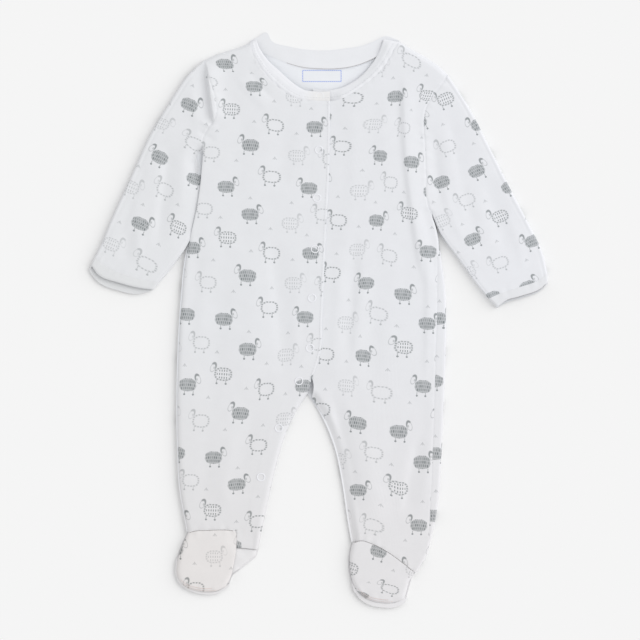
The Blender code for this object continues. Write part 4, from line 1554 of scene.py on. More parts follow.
@dataclass
class UpperFront:
    """The front that laps over: half the trunk, the placket edge and one leg, open inside."""

    finishes: Finishes
    trunk_rows: int = 150
    leg_rows: int = 84
    arm_rows: int = 54
    neck_columns: int = 60
    shoulder_columns: int = 26
    heel_columns: int = 12
    calm: float = 18.0  # width of the even placket
    calm_share: float = 0.12  # what is left of the folds there
    facing: float = 15.5  # width of the facing under it
    calm_fade: float = 14.0  # how far beside it they come back
    facing_step: float = 0.12  # how much higher the facing makes it
    facing_fade: float = 2.4
    sleeve_end: float = 70.0  # the y where the left sleeve ends beside the body
    sleeve_fade: float = 25.0
    evening: tuple[int, float] = (60, 0.6)  # rounds of evening out the plan, and their strength
    placket_turn: Pair = (0.4, 1.0)  # how far the placket's edge turns down, over which width
    leg_lip: float = 2.4  # height of the leg opening's edge
    leg_shift: float = -0.15  # from the drawn line to that edge
    stand: float = 4.4  # height of the side edge, below and, with the rise, above
    stand_rise: float = 2.0
    cut: Cut = Cut(0.155, 0.512, 0.0573)
    lay: PrintLay = PrintLay(-96.5, -0.5, 2.5, Ease(
        (-103.5, -63.5, -23.5),
        (-175.5, -123.5, -71.5, -19.5, 32.5, 84.5, 136.5, 188.5, 236, 258),
        (
            ((-3, -1), (0, 3), (3, 6)), ((-2.5, -2), (-2.5, -1), (-1, 2)),
            ((1.5, 0), (3, -1), (0, 4)), ((2, 1.5), (4, 1), (3, 5)),
            ((0.5, 2.5), (2, 1.5), (3, 3)), ((0, 2), (1.5, 2), (1, 1)),
            ((-2, -1), (-2, -1), (1, -2)), ((-2, -3.5), (-1, -3), (0, -7)),
            ((-1, -6.5), (-2, -6), (-1, -8)), ((-10, -14), (-9, -14), (-1, -8)),
        ),
    ))

    def plan(self) -> Array:
        """Stretches the plan between the side, the placket and leg edge, the neck and the ankle,
        and evens it out by neighbours' means round the heel's corner.

        Returns:
            The plan, row by row.
        """
        rows = self.trunk_rows + self.leg_rows - self.arm_rows
        left = chain(steps(armhole(Side.LEFT), self.arm_rows), steps(self.side_edge(), rows))
        right = chain(steps(flow(PLACKET), self.trunk_rows), steps(self.leg_edge(), self.leg_rows))
        right[self.trunk_rows] = PLACKET[-1]
        top = chain(
            places(flow(SHOULDER_LEFT), crowded(self.shoulder_columns, 50, True, False)),
            places(neckline(Side.LEFT), crowded(self.neck_columns, 107, False, True)),
        )
        ankle = self.shoulder_columns + self.heel_columns
        rest = len(top) - 1 - self.heel_columns - ankle
        bottom = chain(
            places(flow(ANKLE_LEFT), crowded(ankle, 50, True, False)),
            steps(flow((ANKLE_LEFT[-1], HEEL_CORNER)), self.heel_columns),
            places(flow((HEEL_CORNER, tuple(right[-1]))), crowded(rest, 21, False, True)),
        )
        plan = stretched(top, bottom, left, right)
        near = away(plan, np.array([ANKLE_LEFT[-1], HEEL_CORNER]))
        loose = (1 - soft_step((near - 3) / 8))[1:-1, 1:-1, None]
        rounds, strength = self.evening
        for _ in range(rounds):
            mean = (plan[:-2, 1:-1] + plan[2:, 1:-1] + plan[1:-1, :-2] + plan[1:-1, 2:]) / 4
            plan[1:-1, 1:-1] += strength * loose * (mean - plan[1:-1, 1:-1])
        return plan

    def side_edge(self) -> Array:
        """Draws the side edge, inside the back's rim but flush with it where the sleeve lies.

        Returns:
            The edge as a line of points.
        """
        side = flow(SIDE_LEFT)
        beside = soft_step((side[:, 1] - self.sleeve_end) / self.sleeve_fade)
        return side + (RIM * (1 - beside))[:, None] * (1, 0)

    def leg_edge(self) -> Array:
        """Draws the leg opening's front edge."""
        return moved(flow(LEG_LEFT_INNER), self.leg_shift)

    def patch(self) -> Patch:
        """Works out the front's outer face.

        Returns:
            The face.
        """
        plan = self.plan()
        x, y = plan[..., 0], plan[..., 1]
        placket, leg = flow(PLACKET), self.leg_edge()
        beside = read(placket, y) - x
        folded = between(self.calm_share, 1, soft_step((beside - self.calm) / self.calm_fade))
        upper = y > PLACKET[-1][1] - self.calm
        height = LAID + crumple(plan) * np.where(upper, folded, 1)
        facing = np.minimum(beside, away(plan, leg))
        step = self.facing_step
        height += step * (1 - soft_step((facing - self.facing) / self.facing_fade)) - step
        height += seamed(plan, neckline(Side.LEFT), Seam.NECK_OVER)
        height += turned_down(away(plan, placket), *self.placket_turn)
        height += seamed(plan, armhole(Side.LEFT), Seam.ARM_LEFT)
        height += seamed(plan, flow(ANKLE_LEFT), Seam.ANKLE_LEFT)
        corner = np.array([ANKLE_LEFT[-1], HEEL_CORNER, tuple(leg[-1])])
        height += turned_down(away(plan, corner), *HEEL_TURN)
        for lip, base in ((flow(SHOULDER_LEFT), LIP), (leg, self.leg_lip)):
            height = between(base, height, rise(away(plan, lip), TURN))
        above = soft_step((y - self.sleeve_end) / self.sleeve_fade)
        stand = self.stand + self.stand_rise * above
        low = between(stand, height, rise(away(plan, self.side_edge()), TURN))
        return laid(plan, between(height, low, soft_step((SIDE_LEFT[0][1] - y) / 26)), self.lay)

    def build(self) -> Patch:
        """Makes the front and gives its face for what is sewn on it.

        Returns:
            The front's outer face.
        """
        patch, below = self.patch(), ("back_panel", "front_under")
        sewn("front_over", [patch], self.finishes.lined(), self.cut)
        return patch


@dataclass
class LowerFront:
    """The front that is lapped over; its side seam lies on top of the suit."""

    finishes: Finishes
    turn: Turn = Turn()
    trunk_rows: int = 150
    leg_rows: int = 84
    arm_rows: int = 60
    neck_columns: int = 62
    shoulder_columns: int = 26
    lap_top: float = 5.8  # height under the placket
    lap_ramp: float = 26.0  # how far beside it the front comes up
    leg_lip: float = 2.8  # height of the leg opening's edge
    leg_shift: float = 1.7  # from the drawn line to that edge
    leg_fade: float = 9.0  # how far in from it the front comes up
    cut: Cut = Cut(0.152, 0.531, 0.0551)
    lay: PrintLay = PrintLay(85.9, 26.7, 3.5, Ease(
        (26.5, 53.5, 80.5, 106.5),
        (-227.5, -175.5, -123.5, -71.5, -19.5, 32.5, 84.5, 136.5, 165.5, 195.5, 225.5, 252),
        (
            ((-4, 3), (-3, 3), (7, -4), (6, -4)), ((-1, 2), (-1, 2), (5, -7), (6, -6)),
            ((-3, 1), (0.5, -2), (3, -4), (3, -3)), ((-2, 2), (-3, 0), (3, -1), (2, -1)),
            ((-3, 2), (-6, 1), (1, 0), (2, 0)), ((-1, 4), (-2, 6), (-2, -1), (-1, -1)),
            ((2, 2), (0, 3), (-2, 1), (-1, -1)), ((1, -1), (5, 0), (-1, -1), (-3, -4)),
            ((1, -4), (6, -2), (0, -3), (-2, -4)), ((1, -7), (9, -6), (8, -5), (-3, -8)),
            ((7, -12), (12, -12), (12, -9), (8, -19)), ((7, -12), (12, -12), (12, -9), (15, -19)),
        ),
    ))

    def seam(self) -> Array:
        """Draws the side seam on top of the suit.

        Returns:
            The seam as a line of points.
        """
        edge = steps(flow(SIDE_RIGHT), self.trunk_rows + self.leg_rows - self.arm_rows)
        wrap = self.turn.wrapped(edge[:, 1]) + 2 * SEAM_GAP
        return np.stack([self.turn.bent(edge[:, 0], wrap, wrap)[0], edge[:, 1]], axis=1)

    def leg_edge(self) -> Array:
        """Draws the leg opening's front edge."""
        edge = tuple((x + self.leg_shift, y) for x, y in LEG_RIGHT_INNER[1:])
        return flow((LAP_EDGE[-1],) + edge)

    def patch(self) -> Patch:
        """Works out the front's outer face, which drops under the upper front along the placket.

        Returns:
            The face.
        """
        left = chain(steps(flow(LAP_EDGE), self.trunk_rows), steps(self.leg_edge(), self.leg_rows))
        edge = flow(SIDE_RIGHT)
        seam, ankle, neck = self.seam(), flow(ANKLE_RIGHT), neckline(Side.RIGHT)
        right = chain(steps(armhole(Side.RIGHT), self.arm_rows), seam)
        top = chain(
            places(neck, crowded(self.neck_columns, 110, True, False)),
            places(flow(SHOULDER_RIGHT), crowded(self.shoulder_columns, 58, False, True)),
        )
        plan = stretched(top, places(ankle, crowded(len(top) - 1, 70)), left, right)
        x, y = plan[..., 0], plan[..., 1]
        inside = np.where(y < edge[0, 1], read(edge, y) - x, away(plan, edge[:2]))
        height = LAID + crumple(plan) * soft_step((inside - ROLL) / 10)
        height += seamed(plan, neck, Seam.NECK_UNDER)
        height += seamed(plan, armhole(Side.RIGHT), Seam.ARM_RIGHT)
        height += seamed(plan, seam, Seam.SIDE_RIGHT, SIDE_DIP, SIDE_PUCKER)
        height += seamed(plan, ankle, Seam.ANKLE_RIGHT)
        beside = x - read(flow(PLACKET), y)
        covered = 1 - soft_step((beside - 0.6) / self.lap_ramp)
        covered = covered * soft_step((y - PLACKET[-1][1]) / 8)
        height = between(height, self.lap_top, covered)
        height = between(LIP, height, rise(away(plan, flow(SHOULDER_RIGHT)), TURN))
        leg = soft_step((away(plan, self.leg_edge()) + 0.8) / self.leg_fade)
        height = between(self.leg_lip, height, leg)
        base = between(LAID, ROLL, soft_step((edge[0, 1] - y) / 30))
        return laid(plan, between(base, height, rise(inside, ROLL, 4)), self.lay)

    def build(self) -> None:
        """Makes the front."""
        patches, finishes = [self.patch()], self.finishes.lined()
        sewn("front_under", patches, finishes, self.cut)


@dataclass
class BackPanel:
    """The whole back: flat on the surface, and rolled over the right edge onto the front."""

    finishes: Finishes
    turn: Turn = Turn()
    trunk_rows: int = 110
    leg_rows: int = 64
    arm_rows_left: int = 44
    arm_rows_right: int = 50
    neck_columns: int = 30
    shoulder_columns: int = 22
    roll_columns: int = 22
    crowding: float = 1.4  # how much closer the roll's last columns are, as a power
    curls: tuple[tuple[Knots, float, float], ...] = (  # edge, its height, and the y it starts at
        (SIDE_LEFT, 3.4, 85), (LEG_RIGHT_INNER, 1.9, -76),
    )
    cut: Cut = Cut(0.305, 0.537, 0.118)
    lay: PrintLay = PrintLay(-40.0, 120.0, 3.0)
    wrap_lay: PrintLay = PrintLay(105.9, 30.7, 1.5)

    def curled(self, plan: Array) -> Array:
        """Lifts the edge to the front's, within 4 mm of the side and of the right leg.

        Args:
            plan: Points of a flat half.

        Returns:
            Heights.
        """
        height = np.zeros(plan.shape[:-1])
        for line, lift, top in self.curls:
            along = (top - plan[..., 1]) / 25
            inward = (away(plan, flow(line)) - 1) / 2.6
            height = np.maximum(height, lift * soft_step(along) * (1 - soft_step(inward)))
        return height

    def patches(self) -> list[Patch]:
        """Works out the two flat halves and the rolled strip.

        Returns:
            The three faces.
        """
        leg = steps(flow(LEG_LEFT_INNER), self.leg_rows)
        middle = chain(steps(flow((BACK_NECK[5], PLACKET[-1])), self.trunk_rows), leg)
        neck = flow(BACK_NECK)
        centre = np.abs(neck[:, 0] - BACK_NECK[5][0]).argmin()
        rows = self.trunk_rows + self.leg_rows
        side = steps(flow(SIDE_LEFT), rows - self.arm_rows_left)
        top = chain(
            places(flow(SHOULDER_LEFT), crowded(self.shoulder_columns, 50, True, False)),
            places(neck[: centre + 1], crowded(self.neck_columns, 78, False, True)),
        )
        bottom = places(flow((SIDE_LEFT[-1], LEG_LEFT_INNER[-1])), crowded(len(top) - 1, 73))
        arm = steps(armhole(Side.LEFT), self.arm_rows_left)
        left = stretched(top, bottom, chain(arm, side), middle)
        middle = middle.copy()
        middle[self.trunk_rows :] = steps(flow(LEG_RIGHT_INNER), self.leg_rows)
        outline = steps(flow(SIDE_RIGHT), rows - self.arm_rows_right)
        wrap = self.turn.wrapped(outline[:, 1])
        side = np.stack([self.turn.bent(outline[:, 0], wrap, 0 * wrap)[0], outline[:, 1]], axis=1)
        top = chain(
            places(neck[centre:], crowded(self.neck_columns, 86, True, False)),
            steps(flow(SHOULDER_RIGHT), self.shoulder_columns),
        )
        ankle = flow(ANKLE_RIGHT[:-1] + (tuple(side[-1]),))
        bottom = places(ankle, crowded(len(top) - 1, 70, True, False))
        arm = steps(armhole(Side.RIGHT), self.arm_rows_right)
        right = stretched(top, bottom, middle, chain(arm, side))
        flats = [laid(plan, self.curled(plan), self.lay).mirrored() for plan in (left, right)]
        share = 1 - (1 - np.linspace(0, 1, self.roll_columns)) ** self.crowding
        along = wrap[:, None] * share
        x, z = self.turn.bent(outline[:, :1], wrap[:, None], along)
        y = np.broadcast_to(outline[:, 1:], x.shape)
        flat = np.stack([outline[:, :1] + (wrap[:, None] - along), y], axis=-1)
        over = np.stack([x, y], axis=-1)
        seam = drawn_down(wrap[:, None] - along, *SIDE_DIP)
        seam = seam + puckered(over, over[:, -1], Seam.SIDE_RIGHT, SIDE_PUCKER)
        z = z + np.where(along > ROLL, seam, 0)
        rolled = Patch(np.stack([x, y, z], axis=-1), self.wrap_lay.chart(flat)).mirrored()
        return [*flats, rolled]

    def build(self) -> None:
        """Makes the back."""
        finishes = (self.finishes.printed, self.finishes.inside_back_lightened)
        sewn("back_panel", self.patches(), finishes, self.cut)


# Sleeves -----------------------------------------------------------------------------------------


@dataclass
class Sleeve:
    """A sleeve folded flat at its two long edges, and the turned hem of its cuff.

    It is drawn as two plans that meet in a row from the armpit straight across. Its corner is the
    share of the armhole where its plan turns down its inside, and its turn the share of the outer
    edge that lies straight across from the armpit.
    """

    finishes: Finishes
    side: Side
    outer: Knots
    inner: Knots
    cuff_seam: Knots
    hem_top: Knots
    hem_under: Knots
    corner: float
    turn: float
    lay: PrintLay
    cut: Cut
    cuff_cut: Cut
    arm_seam: Seam
    hem_seam: Seam
    outer_line: Pair = (4.2, 0.45)  # how far from its edge a pressed line runs, and its depth
    inner_line: tuple[float, float, float] = (2.2, 0.5, 0.7)  # the same, and half its width
    hem_turn: Pair = (0.9, 1.6)  # how far the hem's edge turns down, over which width
    hem_lift: float = 1.5  # how far the hem's lower layer stands up at its edge
    tuck: float = 0.0  # how far the inner edge goes under the body
    sink: float = 0.0  # how deep the cloth sinks beside the body
    hollow: float = 1.9  # how much deeper it sinks below the armpit
    under_shift: Pair = (61, 17)  # from the upper layer's print to the lower one's
    hem_pucker: float = 0.16
    body_end: float = 62.0  # the y below which the sleeve lies free of the body
    gap: float = 0.6  # least distance between the layers where it is sunk
    columns: int = 58
    upper_rows: int = 60
    lower_rows: int = 78
    cuff_rows: int = 9

    def shell(self, upper: Array, lower: Array, height: Array, over: Array) -> list[Patch]:
        """Works out the two layers of a flattened tube, which meet halfway up where over is 0.

        Args:
            upper: Plan of the upper layer.
            lower: Plan of the lower layer.
            height: Heights of the upper layer.
            over: From 0 at a folded edge to 1 inside.

        Returns:
            Both layers.
        """
        middle = (upper + lower) / 2
        upper, lower = (between(middle, plan, over[..., None]) for plan in (upper, lower))
        top = laid(upper, between(ROLL, height, over), self.lay)
        under = Patch(raised(lower, ROLL - ROLL * over), self.lay.chart(lower + self.under_shift))
        layers = [top, under.mirrored()]
        return [layer.mirrored() for layer in layers] if self.side is Side.RIGHT else layers

    def inside(self) -> Array:
        """Draws the inner folded edge, tucked towards the body over its upper half.

        Returns:
            The edge as a line of points.
        """
        line = flow((tuple(armhole(self.side)[-1]),) + self.inner[1:])
        share = shares_of(line)
        near = soft_step(share / 0.12) * soft_step((0.8 - share) / 0.25)
        return line + (self.tuck * near)[:, None] * (1, 0)

    def plan(self) -> tuple[Array, int]:
        """Stretches the two plans; gives them joined, with the row at which they meet.

        Returns:
            The plan and that row.
        """
        outward = -SEAM_GAP if self.side is Side.LEFT else SEAM_GAP
        seam = moved(armhole(self.side), 2 * outward)
        outer = flow(self.outer)
        inner = self.inside()
        corner = int(self.corner * (len(seam) - 1))
        rows = crowded(self.upper_rows, 90, True, False)
        upper_inner = places(seam[corner:], rows)
        upper_outer = places(places(outer, np.linspace(0, self.turn, 60)), rows)
        shares = crowded(self.columns, 85)
        across = places(flow((tuple(upper_outer[-1]), tuple(seam[-1]))), shares)
        shoulder = places(seam[: corner + 1], shares)
        upper = stretched(shoulder, across, upper_outer, upper_inner)
        cuff = places(flow(self.cuff_seam), shares)
        lower_outer = places(outer, np.linspace(self.turn, 1, self.lower_rows + 1))
        lower = stretched(across, cuff, lower_outer, steps(inner, self.lower_rows))
        return np.vstack([upper, lower[1:]]), len(upper) - 1

    def build(self) -> Patch:
        """Makes the sleeve and its cuff, and gives the cuff's upper face.

        Returns:
            The cuff's upper face.
        """
        plan, turn_row = self.plan()
        outer, inner = away(plan, flow(self.outer)), away(plan, self.inside())
        over = rise(outer, ROLL, 4) * rise(inner, ROLL, 4)
        over[:, 0] = 0
        over[turn_row:, -1] = 0
        height = LAID + crumple(plan)
        height += seamed(plan, armhole(self.side), self.arm_seam)
        height += seamed(plan, flow(self.cuff_seam), self.hem_seam, HEM_DIP, self.hem_pucker)
        height += pressed(outer, *self.outer_line) + pressed(inner, *self.inner_line)
        layers = self.shell(plan, plan, height, over)
        if self.sink:
            self.sunken(plan[..., 1], inner, *layers)
        name = f"sleeve_{self.side.value}"
        sewn(name, layers, self.finishes.lined(), self.cut)
        return self.cuff()

    def sunken(self, y: Array, inner: Array, top: Patch, under: Patch) -> None:
        """Sinks the sleeve beside the body, deepest in a hollow below the armpit.

        Args:
            y: The plan's y.
            inner: The distance from the inner edge.
            top: The upper layer, which is lowered.
            under: The lower layer, which is kept between the surface and the upper one.
        """
        beside = soft_step((178 - y) / 18) * soft_step((y - self.body_end) / 40)
        beside = beside + self.hollow * np.exp(-(((y - 156) / 13) ** 2))
        sunk = self.sink * beside * np.exp(-((inner / 13) ** 2))
        high = np.maximum(top.points[..., 2] - sunk, 1.8 * (sunk > 0.01))
        low = 1.2 * soft_step((y - self.body_end) / 20) * (inner < 6)
        top.points[..., 2] = high
        under.points[..., 2] = np.clip(under.points[..., 2], low[:, ::-1], high[:, ::-1] - self.gap)

    def cuff(self) -> Patch:
        """Makes the cuff: a band whose wall is the turned hem, with its two hems apart.

        Returns:
            Its upper face.
        """
        shares = crowded(self.columns, 70)
        lines = (self.cuff_seam, self.hem_top, self.hem_under)
        seam, top, under = (places(flow(line), shares) for line in lines)
        toward = (top - seam) / np.sqrt(((top - seam) ** 2).sum(1))[:, None]
        along = lengths(seam)
        over = rise(along, ROLL, 4) * rise(along[-1] - along, ROLL, 4)
        start = seam + 0.03 * toward
        v = np.linspace(0, 1, self.cuff_rows)[:, None]
        upper, lower = (between(start, line, v[..., None]) for line in (top, under))
        over = np.broadcast_to(over, upper.shape[:2])
        height = crumple(upper) + LAID + drawn_down(away(upper, seam), *HEM_DIP)
        height = height + puckered(upper, seam, self.hem_seam, self.hem_pucker)
        height = height + turned_down(away(upper, top), *self.hem_turn)
        layers = self.shell(upper, lower, height, over)
        layers[1].points[..., 2] += self.hem_lift * over * soft_step(v)
        name, finishes = f"cuff_{self.side.value}", (self.finishes.cuff,)
        sewn(name, layers, finishes, self.cuff_cut, wall=FOLDED_WALL)
        return layers[0]


# Neckband ----------------------------------------------------------------------------------------


@dataclass
class Neckband:
    """The ring round the neck: a flat back, and two fronts that lap where they are fastened."""

    finishes: Finishes
    rows: int = 14
    end_height: float = 3.0  # where a front lies on the back band
    reach: float = 12.0  # how far from there it is lowered
    dip: float = 0.6  # how far the free edge of a front hangs down
    dip_under: float = 2.4  # and that of the lower one
    dip_reach: float = 7.5  # over which width
    roll: Pair = (0.8, 1.6)  # depth and width of the free edge's rounding
    seam_dip: Pair = (0.4, 1.5)  # how deep the band is drawn down at its seam, and how far
    rib: tuple[float, float, float] = (4.4, 0.32, 1.1)  # the pressed line's place, depth and width
    pucker: float = 0.2
    lens: float = 1.5  # how far the back bulges by its seam
    lap: float = 3.7  # height of the lower front under the upper one
    over_cut: Cut = Cut(0.105, 0.0115, 0.00113)
    under_cut: Cut = Cut(0.098, 0.0155, 0.0013)
    back_cut: Cut = Cut(0.168, 0.0215, 0.0026)

    def strip(self, free_edge: Knots, seam: Array, rows: int) -> Array:
        """Works out a band's plan, from its free edge to its seam.

        Args:
            free_edge: The free edge's knots.
            seam: The seam line.
            rows: How many intervals across the band.

        Returns:
            The plan, the free edge first.
        """
        free = places(flow(free_edge), shares_of(seam))
        width = np.sqrt(((free - seam) ** 2).sum(1))[:, None]
        sewn_edge = seam + SEAM_GAP * (free - seam) / np.maximum(width, 0.1)
        v = np.linspace(0, 1, rows + 1)[:, None, None]
        return between(free, sewn_edge, 0.5 * v + 0.5 * soft_step(v))

    def front(
        self, name: str, knots: Knots, line: Array, end: Knots, cut: Cut, seam: Seam
    ) -> Patch:
        """Makes one front of the band: rolled in at its free edge, ribbed by its seam.

        Args:
            name: The node's name.
            knots: Its free edge.
            line: Its seam's line.
            end: The shoulder end, where it lies on the back band.
            cut: Its flat size.
            seam: Which seam it is.

        Returns:
            Its outer face.
        """
        plan = self.strip(knots, steps(line, 110), self.rows)
        under = seam is Seam.BAND_UNDER
        across, inward = away(plan, plan[0]), away(plan, plan[-1])
        dip = self.dip_under if under else self.dip
        hang, (deep, reach) = dip * (1 - soft_step(across / self.dip_reach)), self.roll
        height = LAID - hang - deep * (1 - rise(across, reach))
        height = height + drawn_down(inward, *self.seam_dip)
        height = height + pressed(inward, *self.rib)
        height = height + puckered(plan, plan[-1], seam, self.pucker)
        height = between(self.end_height, height, rise(away(plan, flow(end)), self.reach))
        if under:
            clear = soft_step((plan[..., 0] - BAND_INNER_OVER[-1][0] - 0.5) / 14)
            height = between(self.lap, height, clear)
        patch = laid(plan, height)
        finish = self.finishes.plain if under else self.finishes.band_end
        sewn(name, [patch], (finish,), cut)
        return patch

    def build(self) -> list[Patch]:
        """Makes the three stretches of the band and gives their faces: back, over and under.

        Returns:
            The three faces.
        """
        neck = steps(flow(BACK_NECK), 120)
        plan = self.strip(BAND_TOP, neck, 10)
        share = np.linspace(0, 1, plan.shape[1])
        bulge = soft_step((share - 0.2) / 0.5) * soft_step((0.93 - share) / 0.08)
        lift = self.lens * bulge * np.exp(-((away(plan, neck) / 4.5) ** 2))
        back, finishes = laid(plan, lift).mirrored(), (self.finishes.plain,)
        sewn("neckband_back", [back], finishes, self.back_cut, wall=BAND_WALL)
        over = self.front(
            "neckband_over", BAND_INNER_OVER, neckline(Side.LEFT),
            (BAND_INNER_OVER[0], NECKLINE_OVER[0]), self.over_cut, Seam.BAND_OVER,
        )
        under = self.front(
            "neckband_under", BAND_INNER_UNDER, neckline(Side.RIGHT),
            (BAND_INNER_UNDER[-1], NECKLINE_UNDER[-1]), self.under_cut, Seam.BAND_UNDER,
        )
        return [back, over, under]


# Feet --------------------------------------------------------------------------------------------


@dataclass
class Feet:
    """Both feet: printed insteps, plain soles, and the heel that shows beside the left one."""

    finishes: Finishes
    rows: int = 34
    columns: int = 38
    sole_steps: int = 40
    heel_steps: int = 16
    lip: float = 3.6  # height of an instep's edge on the sole
    heel_lip: float = 2.6  # how much higher its right edge is beside the left heel
    right_lip: float = 3.0  # height of the right foot's right edge
    puckers: Pair = (0.3, 0.35)  # how high the ripples go, at the ankle and at the toe
    rim: Pair = (1.2, 3.6)  # how far the sole shows past the toe, left and right
    edge: float = 1.2  # how far it shows at the foot's left side
    heel_top: float = 5.2
    curl: float = 2.4  # how far a sole's rim stands up
    left_lay: PrintLay = PrintLay(-167.0, -200.5, 0.5)
    right_lay: PrintLay = PrintLay(46.4, -196.5, 18.0, Ease(
        (48, 72), (-280, -255), (((3, 19), (6, 10)), ((0, 0), (0, 0))),
    ))
    left_cut: Cut = Cut(0.060, 0.062, 0.0034)
    right_cut: Cut = Cut(0.066, 0.058, 0.0031)
    left_sole_cut: Cut = Cut(0.084, 0.062, 0.0036)
    right_sole_cut: Cut = Cut(0.072, 0.066, 0.0034)
    heel_cut: Cut = Cut(0.025, 0.029, 0.00044)

    def instep(
        self,
        side: Side,
        top: Array,
        toe: Array,
        left: Array,
        right: Array,
        lay: PrintLay,
        cut: Cut,
        finish: Material,
    ) -> Patch:
        """Makes the top of a foot, turned down to the sole all round but at the ankle.

        Args:
            side: Which foot.
            top: The ankle seam.
            toe: The toe's edge.
            left: The left edge.
            right: The right edge.
            lay: How the print lies.
            cut: Its flat size.
            finish: Its outer finish.

        Returns:
            Its outer face.
        """
        plan = spread((top, toe, left, right), crowded(self.columns, 55), crowded(self.rows, 55))
        if side is Side.LEFT:
            seams = (Seam.INSTEP_LEFT, Seam.TOE_LEFT)
            beside_heel = self.lip + self.heel_lip * soft_step((plan[..., 1] + 262) / 14)
        else:
            seams, beside_heel = (Seam.INSTEP_RIGHT, Seam.TOE_RIGHT), self.right_lip
        height = LAID + crumple(plan, FOOT_LIFT) + drawn_down(away(plan, top))
        height = height + puckered(plan, top, seams[0], self.puckers[0])
        height += puckered(plan, toe, seams[1], self.puckers[1])
        for line, level in ((left, self.lip), (toe, self.lip), (right, beside_heel)):
            height = between(level, height, rise(away(plan, line), TURN))
        patch = laid(plan, height, lay)
        finishes = (finish, self.finishes.inside)
        sewn(f"instep_{side.value}", [patch], finishes, cut)
        return patch

    def sole(self, side: Side, top: Array, toe: Knots, left: Knots, right: Knots, cut: Cut) -> None:
        """Makes the flat underside of a foot, whose rim stands a little proud of the instep.

        Args:
            side: Which foot.
            top: The heel seam.
            toe: The toe's edge.
            left: The left edge.
            right: The right edge.
            cut: Its flat size.
        """
        toe, left = flow(toe), flow(left)
        across, down = crowded(self.sole_steps, 60), crowded(self.sole_steps, 50)
        plan = spread((top, toe, left, flow(right)), across, down)
        rim = self.rim[0] if side is Side.LEFT else self.rim[1]
        near = np.minimum(away(plan, left) - self.edge, away(plan, toe) - rim)
        ends = soft_step((plan[0, :, 1].min() - 4 - plan[..., 1]) / 10)
        curl = self.curl * ends * (1 - soft_step(near / 2.6))
        patch, finishes = laid(plan, curl).mirrored(), (self.finishes.plain,)
        sewn(f"sole_{side.value}", [patch], finishes, cut, wall=FOLDED_WALL)

    def heel(self) -> None:
        """Makes the left heel, folded up beside the instep."""
        inner, outer = moved(flow(HEEL_INNER), -2.4, 0.4), moved(flow(HEEL_OUTER), 0, 0.4)
        count = self.heel_steps
        top = steps(flow((tuple(inner[0]), tuple(outer[0]))), count)
        bottom = steps(flow((tuple(inner[-1]), tuple(outer[-1]))), count)
        plan = stretched(top, bottom, steps(inner, count), steps(outer, count))
        height = self.heel_top + turned_down(away(plan, top), *HEEL_TURN) + crumple(plan, FOOT_LIFT)
        height -= 0.5 * (1 - soft_step(away(plan, inner) / 2.4))
        patch = laid(plan, between(LIP, height, rise(away(plan, outer), TURN)))
        finishes = (self.finishes.plain,)
        sewn("heel_left", [patch], finishes, self.heel_cut)

    def build(self) -> list[Patch]:
        """Makes both feet and gives the insteps' faces.

        Returns:
            The two faces.
        """
        gap = 2 * SEAM_GAP
        ankle = moved(flow(ANKLE_LEFT), 0, -gap)
        inner = moved(flow(FOOT_LEFT_INNER), -gap, -gap)
        left = self.instep(
            Side.LEFT, ankle, flow(FOOT_LEFT_TOE), flow(FOOT_LEFT_OUTER), inner,
            self.left_lay, self.left_cut, self.finishes.blushed,
        )
        ankle = moved(flow(ANKLE_RIGHT), -gap / 2, -gap)
        inner = flow(FOOT_RIGHT_INNER)
        right = self.instep(
            Side.RIGHT, ankle, flow(FOOT_RIGHT_TOE), inner, flow(FOOT_RIGHT_OUTER),
            self.right_lay, self.right_cut, self.finishes.printed,
        )
        self.heel()
        seam = moved(flow((SIDE_LEFT[-1], LEG_LEFT_INNER[-1])), 0, -gap)
        outer, inner = SOLE_LEFT_OUTER, SOLE_LEFT_INNER
        self.sole(Side.LEFT, seam, SOLE_LEFT_TOE, outer, inner, self.left_sole_cut)
        turn = Turn()
        end = np.array(SIDE_RIGHT[-1:])
        wrap = turn.wrapped(end[:, 1])
        flat_end = (float(turn.bent(end[:, 0], wrap, 0 * wrap)[0][0]), float(end[0, 1]))
        seam = moved(flow(ANKLE_RIGHT[:-1] + (flat_end,)), -gap / 2, -gap)
        outer, inner = (flat_end,) + SOLE_RIGHT_OUTER[1:], SOLE_RIGHT_INNER
        self.sole(Side.RIGHT, seam, SOLE_RIGHT_TOE, inner, outer, self.right_sole_cut)
        return [left, right]


# Poppers -----------------------------------------------------------------------------------------


